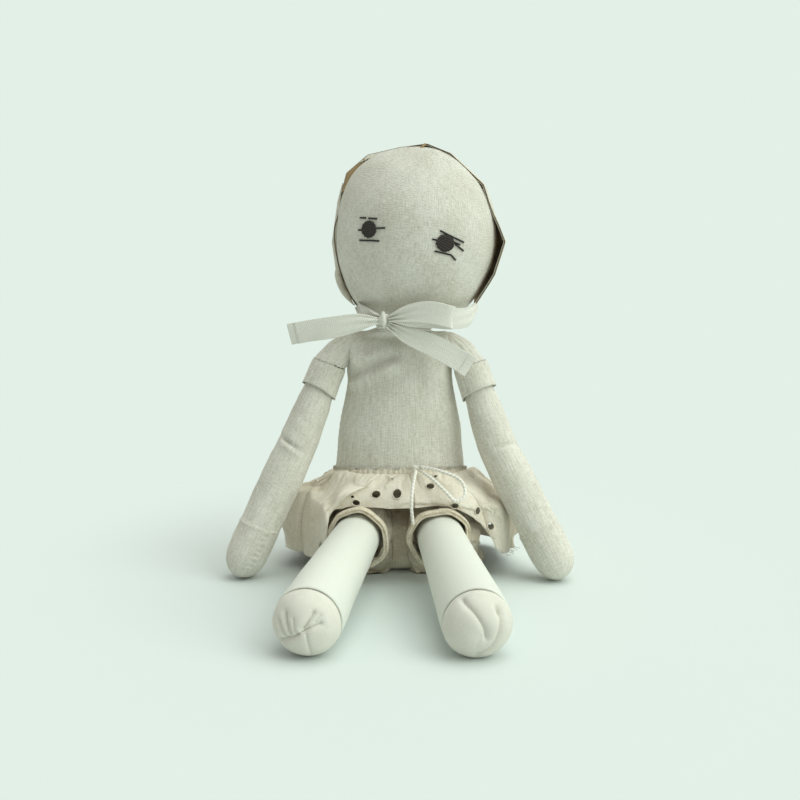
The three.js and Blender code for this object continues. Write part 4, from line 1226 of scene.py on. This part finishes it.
SOLE_SEAMS = {  # lines across the sole, across and down, then depth and width
    "right": [
        ([(-15, 8.5), (-11.5, 6.4), (-5, 3.5), (-0.3, 0.4), (6, -3.5), (12.1, -5.6)], 1.7, 0.9),
        ([(3.4, 0.8), (4.4, 9), (4.6, 16.3)], 0.7, 0.7),
        ([(-10.5, -11), (-9.6, -6), (-7, 1.5)], 1.9, 1.1),
        ([(-15, -5), (-13, 0), (-10, 4.5)], 1.5, 1.0),
        ([(-4.5, -8), (-4, -2), (-3, 1)], 0.8, 0.9),
        ([(7.5, -12), (5, -8), (1.7, -3)], 1.8, 1.0),
        ([(11.5, -10), (9, -7)], 0.9, 0.8),
    ],
    "left": [
        ([(-10, -17), (-3.4, -11), (1.4, -3), (2.6, 3)], 1.5, 1.2),
        ([(-0.5, 2), (-3, 8)], 0.8, 3.4),
        ([(11, -12), (11.8, -6), (10, 3.4), (5.4, 11), (-2, 16.4)], 1.5, 1.2),
        ([(10, -14), (11.4, -10.5)], 1.2, 1.3),
    ],
}


class DOLL_OT_legs(bpy.types.Operator):
    """Smooth stuffed legs with their capped feet and sewn-in tabs"""

    bl_idname = "doll.legs"
    bl_label = "Legs"

    def execute(self, context):
        for side, s in SIDES.items():
            phi = angles(96)
            rows = limb_rows(np.vstack([profile(LEG, 110), LEG_LIP]), phi)
            along = -rows[:, :, 2]
            field = 0.35 * lumps(rows, 30, 91 + s)
            field += pucker(np.abs(along - 175), phi[None, :] * 20, 0.25, 4, 1.5)
            rows = on_leg(raised(rows, field, flip=True), side)
            made = surface(f"{side}_leg", rows, material("calico"), ring=True, caps=(True, False), flip=True)
            dress(made, f"{side}_leg", "leg_cotton", f"{side}_leg", f"{side}_leg_stuffing")
            self.foot(side, s)
            tab(f"{side}_hip_tab", HIP[side], s, HIP_TAB, "calico", "leg_cotton", f"{side}_hip")
        return {"FINISHED"}

    def foot(self, side, s):
        """A round cap of linen, its seams drawn into pleats on the sole."""
        rows, _, _ = limb(FOOT, 90, 144)
        field = 0.3 * lumps(rows, 12, 101 + s)
        shape = profile(FOOT, 200)
        outer = shape[shape[:, 0] > 180]
        for line, depth, width in SOLE_SEAMS[side]:
            flat = spline(line, 24) if len(line) > 2 else np.linspace(*line, 8)
            radial = np.hypot(flat[:, 0], flat[:, 1])
            z = -np.interp(-radial, -outer[:, 1], outer[:, 0])
            off = reach(rows, np.stack([flat[:, 0], flat[:, 1], z], axis=1))
            field -= 1.7 * depth * np.exp(-off / (1.4 * width))
        rows = raised(rows, field, flip=True)
        rows[:, :, :2] *= 1 + (FOOT_GROW[side] - 1) * step(-178, -183, rows[:, :, 2:])
        made = surface(f"{side}_foot", on_leg(rows, side), material("sole"), ring=True, flip=True)
        dress(made, f"{side}_leg", "linen", f"{side}_foot")


# Bloomers

class DOLL_OT_bloomers(bpy.types.Operator):
    """Legs of the bloomers and their rolled hems"""

    bl_idname = "doll.bloomers"
    bl_label = "Bloomers"

    def execute(self, context):
        for side, s in SIDES.items():
            rows, phi, along = limb(BLOOMER, 60, 96)
            gathers = np.cos(14 * phi + np.sin(2 * phi))[None, :] * step(8, 34, along)
            field = 0.9 * lumps(rows, 10, 111 + s) + 0.7 * gathers
            rows = on_leg(raised(rows, np.clip(field, -0.9, 1.3), flip=True), side)
            made = surface(
                f"{side}_bloomer_leg", rows, material("bloomers"), ring=True, caps=(True, False), flip=True)
            dress(made, f"{side}_leg", "bloomer_cotton", f"{side}_bloomer_leg")
            self.hem(side, s)
        return {"FINISHED"}

    def hem(self, side, s):
        """A flat band of folded cloth, its two layers parting at the front edge."""
        phi, psi = angles(144), angles(40)
        wave = 0.7 * np.sin(3 * phi + s) + 0.4 * np.sin(7 * phi) + 1.2 * np.sin(phi) * s
        rows = []
        for a in psi:
            flat = [math.copysign(abs(f) ** 0.6, f) for f in (math.cos(a), math.sin(a))]
            part = math.exp(-((math.degrees(a) - 90) / 20) ** 2)
            rad = HEM_RADIUS + 1.75 * flat[0] + wave
            ripple = 0.6 * np.cos(2 * phi) + 0.3 * np.sin(13 * phi) * part
            z = -(HEM_ALONG + (3.4 - 1.3 * part) * flat[1] + ripple)
            rows.append(np.stack([rad * np.sin(phi), -rad * np.cos(phi), z], axis=1))
        rows.append(rows[0])
        made = surface(f"{side}_bloomer_hem", on_leg(np.array(rows), side), material("bloomers"), ring=True)
        dress(made, f"{side}_leg", "bloomer_cotton", f"{side}_bloomer_hem")


# Skirt

SKIRT_COLUMNS, SKIRT_ROWS = 288, 36
SKIRT_FRAMES, SKIRT_MOVE = 16, 4.5  # steps of the fall, farthest move in mm
SKIRT_CLOTH = {  # thin lawn, with 5 % of ease
    "quality": 6, "mass": 0.12, "tension_stiffness": 12, "compression_stiffness": 12, "shear_stiffness": 3,
    "bending_stiffness": 0.1, "shrink_min": -0.05, "vertex_group_mass": "held",
}
SKIRT_WEIGHT = 0.06  # share of gravity, for a slow fall
SKIRT_GAP, SKIN_GAP = 0.001, 0.0008  # kept between the cloth and what it falls on, in metres
OVERLOCK_TURNS, LOOSE_THREADS = 130, 9
SKIRT_LOBES = [  # degrees round from the front, half width, how far it stands out, lean to the front
    (-56, 20, 7, 17), (-93, 19, 9.5, 10), (-131, 19, 10, 4), (-168, 18, 10, 0), (158, 17, 9, 0),
    (127, 16, 10, -4), (97, 17, 9.5, -8), (64, 17, 10, -14), (34, 17, 4, -8), (8, 14, 2, -3), (-19, 19, 2, 6),
]
EYELETS = [  # degrees round from the front, share of the way to the hem, width and height
    (-5.6, 0.16, 3.2, 2.6), (-13.8, 0.634, 6.8, 6), (-1.2, 0.535, 6.6, 8), (-23.8, 0.87, 6, 4.4),
    (-26, 0.72, 3, 2.4), (19.4, 0.366, 6.2, 6.6), (25.6, 0.13, 3.2, 2.6), (28.6, 0.84, 6, 5.6),
    (40.5, 0.86, 5.6, 6), (49.4, 0.9, 5, 6),
] + [(180 - 11.5 * k, 0.86, 5.6, 5.6) for k in range(1, 7)]
UNDER_SKIRT = ("bloomers_seat_soft", "right_bloomer_leg_soft", "left_bloomer_leg_soft", "floor")


def finer(ring):
    """A closed grid of points with twice as many rows and columns."""
    wide = np.stack([spline(row, 2 * len(row), closed=True) for row in ring])
    return np.stack([spline(wide[:, j], 2 * len(ring)) for j in range(wide.shape[1])], axis=1)


class DOLL_OT_skirt(bpy.types.Operator):
    """Gathered eyelet ruffle in two halves, its waist casing, edge stitching and loose threads"""

    bl_idname = "doll.skirt"
    bl_label = "Skirt"

    def execute(self, context):
        ring = self.ruffle()
        phi = np.radians(np.linspace(-180, 180, ring.shape[1]))
        share = np.linspace(0, 1, ring.shape[0])
        for side, start, end, lift in (("right", -180, 11, 0.0), ("left", 8, 180, 0.9)):
            keep = (phi >= math.radians(start) - 1e-6) & (phi <= math.radians(end) + 1e-6)
            rows = ring[:, keep]
            rows = rows + normals(rows, False, True) * lift  # the left half laps over the right
            made = surface(f"skirt_{side}", rows, material("eyelet"), flip=True)
            holes = [e for e in EYELETS if start + 2 < e[0] < end - 2]
            rims = self.pierced(made, rows, phi[keep], share, holes)
            thicken(made, sizes().cloth * 0.8)
            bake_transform(made)
            dress(made, None, "eyelet_cotton", "skirt")
            rim = joined(f"skirt_eyelets_{side}", rims)
            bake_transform(rim)
            dress(rim, None, "eyelet_cotton")
        self.casing()
        self.fray(ring[-2])
        return {"FINISHED"}

    def ruffle(self):
        """The ruffle's closed grid of points, fallen into place and laid in lobes that lean to the front."""
        phi = np.radians(np.linspace(-180, 180, SKIRT_COLUMNS, endpoint=False))
        ring = skirt_at(phi[None, :], np.linspace(0, 1, SKIRT_ROWS)[:, None])
        ring = finer(self.fallen(ring))
        phi = np.radians(np.linspace(-180, 180, ring.shape[1], endpoint=False))
        high = lobes(np.degrees(phi)[None, :], np.linspace(0, 1, len(ring))[:, None])
        away = np.stack([np.sin(phi), -0.8 * np.cos(phi), 0 * phi], axis=1)
        lean = -np.sign(phi)[:, None] * np.stack([np.cos(phi), np.sin(phi), 0 * phi], axis=1)
        ring = ring + high[:, :, None] * (away + 0.6 * np.abs(np.sin(phi))[:, None] ** 0.7 * lean)[None]
        return np.concatenate([ring, ring[:, :1]], axis=1)

    def fallen(self, rows):
        """The ruffle after it has dropped a little onto hips and thighs, held at the waist."""
        cloth = surface("ruffle", rows, material("eyelet"), ring=True, flip=True)
        held = cloth.vertex_groups.new(name="held")
        for i in range(4):
            held.add(list(range(i * rows.shape[1], (i + 1) * rows.shape[1])), 1 - 0.3 * i, "REPLACE")
        under = [bpy.data.objects[name] for name in UNDER_SKIRT]
        for each in under:
            each.modifiers.new("touch", "COLLISION")
            each.collision.thickness_outer = SKIN_GAP
        drop = cloth.modifiers.new("drop", "CLOTH")
        for setting, value in SKIRT_CLOTH.items():
            setattr(drop.settings, setting, value)
        drop.settings.effector_weights.gravity = SKIRT_WEIGHT
        drop.collision_settings.distance_min = SKIRT_GAP
        drop.point_cache.frame_start = 1
        drop.point_cache.frame_end = SKIRT_FRAMES
        for moment in range(1, SKIRT_FRAMES + 1):
            bpy.context.scene.frame_set(moment)
        settle(cloth)
        hung = np.array([v.co[:] for v in cloth.data.vertices]).reshape(rows.shape) / MM
        bpy.context.scene.frame_set(1)
        for each in under:
            each.modifiers.remove(each.modifiers["touch"])
        bpy.data.meshes.remove(cloth.data)
        move = hung - rows
        far = np.linalg.norm(move, axis=2, keepdims=True)
        hung = rows + move * np.minimum(1, SKIRT_MOVE / np.maximum(far, 1e-6))
        hung[:, :, 2] = np.maximum(hung[:, :, 2], 1.0)
        return hung

    def pierced(self, made, rows, phi, share, holes):
        """Cuts the eyelets out of the ruffle and returns their stitched rims."""
        mesh = bmesh.new()
        mesh.from_mesh(made.data)
        flat = rows.reshape(-1, 3)
        doomed, rims = set(), []
        mesh.faces.ensure_lookup_table()
        centres = np.array([f.calc_center_median() for f in mesh.faces]) / MM
        out = normals(rows, False, True)
        for degrees, v, wide, tall in holes:
            j = int(np.argmin(np.abs(phi - math.radians(degrees))))
            i = int(np.argmin(np.abs(share - v)))
            middle, n = rows[i, j], out[i, j]
            down = rows[min(i + 1, len(share) - 1), j] - rows[i - 1, j]
            down = down / np.linalg.norm(down)
            over = np.cross(down, n)
            off = centres - middle
            local = np.stack([off @ over / (wide / 2), off @ down / (tall / 2)], axis=1)
            inside = (np.hypot(local[:, 0], local[:, 1]) < 1) & (np.linalg.norm(off, axis=1) < 8)
            doomed.update(np.nonzero(inside)[0].tolist())
            t = np.linspace(0, 2 * np.pi, 25)[:, None]
            line = middle + np.cos(t) * over * (wide / 2 + 0.1) + np.sin(t) * down * (tall / 2 + 0.1)
            near = np.argmin(np.linalg.norm(flat[None, :, :] - line[:, None, :], axis=2), axis=1)
            line = 0.5 * line + 0.5 * (line - n * ((line - flat[near]) @ n)[:, None]) + n * 0.15
            rims.append(tube("rim", line, sizes().eyelet_rim / MM / 2, material("eyelet"), 8))
        bmesh.ops.delete(mesh, geom=[mesh.faces[k] for k in doomed], context="FACES")
        mesh.to_mesh(made.data)
        mesh.free()
        return rims

    def casing(self):
        """The gathered casing of the cord, and the overlocked edge above it."""
        phi = angles(480)
        pleat = np.abs(np.cos(sizes().gathers / 2 * phi + 1.9 * np.sin(4 * phi) + 0.8 * np.sin(11 * phi)))
        rows = []
        for t in np.linspace(-0.3, 0.75, 16):
            swell = 0.4 + 0.7 * math.sin(math.pi * (t + 0.3) / 1.05)
            ring = waist_ring(phi, 4.8 * t, 0.5)
            out = waist_ring(phi, 4.8 * t, 1.5) - ring
            ragged = (0.6 * np.sin(21 * phi) + 0.5 * np.sin(37 * phi))[:, None] * step(0.4, 0.75, t)
            rows.append(ring + out * (swell * (0.35 + 0.9 * pleat))[:, None] + ragged * np.array([0, 0, 1]))
        made = surface("waist_casing", np.array(rows), material("eyelet"), ring=True)
        thicken(made, 0.0006)
        dress(made, "torso", "eyelet_cotton", "waist_casing")
        t = np.linspace(0, 2 * np.pi, OVERLOCK_TURNS * 8)
        base = waist_ring(t, 3.8, 1.1)
        wave = OVERLOCK_TURNS * t
        line = base + np.stack([0 * t, 0 * t, 1.1 * np.sin(wave)], axis=1)
        out = waist_ring(t, 3.8, 2.1) - base
        line = line + out * (0.7 * np.cos(wave))[:, None]
        loops = tube("waist_overlock", line, 0.3, material("overlock"), 5)
        dress(loops, "torso", "eyelet_cotton")

    def fray(self, edge):
        """Loose threads where the ruffle's edge has come undone."""
        threads = []
        for k in range(LOOSE_THREADS):
            phi = np.radians(50 + 4.5 * k + 3 * noise.noise((k * 2.1, 3.3, 1)))
            foot = edge[int(round((phi + math.pi) / (2 * math.pi) * (len(edge) - 1)))]
            way = np.array([math.sin(phi), -math.cos(phi), -0.5])
            t = np.linspace(0, 1, 12)[:, None]
            curl = np.stack([noise_at(k, axis, t) for axis in (1, 2, 3)], axis=1)
            size = 5 + 4 * abs(noise.noise((k * 3.7, 1.2, 4)))
            line = foot + way * t * size + curl * 2.2 * t
            threads.append(tube("thread", line, 0.22, material("overlock"), 5))
        dress(joined("skirt_loose_threads", threads), "torso", "eyelet_cotton")


def noise_at(k, axis, t):
    """How a loose thread curls along its length."""
    return np.array([noise.noise((k * 1.9, axis * 5.1, float(x) * 2)) for x in t[:, 0]])


def waist_ring(phi, rise, grow):
    """The trunk's outline round the sloping waist, so far above the skirt's top edge."""
    height = SKIRT_TOP + rise + WAIST_SLOPE * np.cos(phi) * WAIST_DEPTH
    table = np.array(TRUNK, float)
    wide, deep, middle = (np.interp(height, table[:, 0], table[:, k]) for k in (1, 2, 3))
    return np.stack([np.sin(phi) * (wide + grow), middle - np.cos(phi) * (deep + grow), height], axis=-1)


def hem_at(phi):
    """The ruffle's lower edge at each angle round the waist."""
    curve = spline(SKIRT_HEM, 1400, closed=True)
    angle = np.arctan2(curve[:, 0] / SKIRT_REACH[0], (WAIST_MIDDLE - curve[:, 1]) / SKIRT_REACH[1])
    order = np.argsort(angle)
    wrapped = np.arctan2(np.sin(phi), np.cos(phi))
    ways = [np.interp(wrapped, angle[order], curve[order, k], period=2 * np.pi) for k in range(3)]
    return np.stack(ways, axis=-1)


def skirt_at(phi, share):
    """The ruffle's surface: phi round the waist from the front, share from waist to hem."""
    phi, share = np.broadcast_arrays(phi, share)
    top, end = waist_ring(phi, 0, 1.3), hem_at(phi)
    out = np.stack([top[..., 0], top[..., 1] - WAIST_MIDDLE, np.zeros_like(phi)], axis=-1)
    out = out / np.linalg.norm(out, axis=-1, keepdims=True)
    aside = np.abs(out[..., 0])
    quick, late = np.sin(np.pi / 2 * share), 1 - np.cos(np.pi / 2 * share)
    bent = step(0.35, 0.95, aside)
    over = (1 - bent) * share + bent * quick
    down = (1 - bent) * share + bent * late
    folds = -6.5 * share * aside
    gathers = np.cos(41 * phi + 1.6 * np.sin(7 * phi)) * np.exp(-share * 4.5) * step(0, 0.08, share)
    swell = SKIRT_SWELL * np.sin(np.pi * share)
    point = top + (end - top) * np.stack([over, over, down], axis=-1)
    point = point + out * (swell + folds + 1.1 * gathers)[..., None]
    puff = bell(share - 0.1, 0.09) * (1.6 + 1.2 * np.sin(5 * phi) + 0.8 * np.sin(13 * phi)) * aside
    point[..., 2] += puff + SKIRT_ARCH * np.sin(np.pi * share) + 0.8 * np.cos(9 * phi + 1) * share
    return point


def lobes(degrees, share):
    """How far the ruffle's soft round folds stand out, and the lap of the first one over the front."""
    high = np.zeros_like(degrees)
    for middle, half, out, lean in SKIRT_LOBES:
        off = (degrees - middle - lean * (1 - share) + 180) % 360 - 180
        high = np.maximum(high, out * np.sqrt(np.clip(1 - (off / half) ** 2, 0, 1)))
    lap = -16 - 18 * share - degrees
    return share ** 0.75 * high + 6.5 * step(-0.2, 0.8, lap) * step(24, 8, lap) * step(0, 0.25, share)


# Panel and registration

class DOLL_PT_panel(bpy.types.Panel):
    """Lists the doll's pieces"""

    bl_idname = "DOLL_PT_panel"
    bl_label = "Rag doll"
    bl_space_type = "VIEW_3D"
    bl_region_type = "UI"
    bl_category = "Rag doll"

    def draw(self, context):
        for operator in OPERATORS:
            self.layout.operator(operator.bl_idname)
        for group in (context.scene.doll_colours, context.scene.doll_sizes):
            for name in group.bl_rna.properties.keys():
                if name not in ("rna_type", "name"):
                    self.layout.prop(group, name)


OPERATORS = (
    DOLL_OT_stage, DOLL_OT_drawstring, DOLL_OT_trunk, DOLL_OT_head, DOLL_OT_bonnet, DOLL_OT_tie, DOLL_OT_arms,
    DOLL_OT_legs, DOLL_OT_bloomers, DOLL_OT_skirt,
)
CLASSES = (DollColours, DollSizes, *OPERATORS, DOLL_PT_panel)


def register():
    for each in CLASSES:
        bpy.utils.register_class(each)
    bpy.types.Scene.doll_colours = PointerProperty(type=DollColours)
    bpy.types.Scene.doll_sizes = PointerProperty(type=DollSizes)


def unregister():
    del bpy.types.Scene.doll_sizes
    del bpy.types.Scene.doll_colours
    for each in reversed(CLASSES):
        bpy.utils.unregister_class(each)


def main():
    register()
    for operator in OPERATORS:
        group, name = operator.bl_idname.split(".")
        getattr(getattr(bpy.ops, group), name)()


if __name__ == "__main__":
    main()
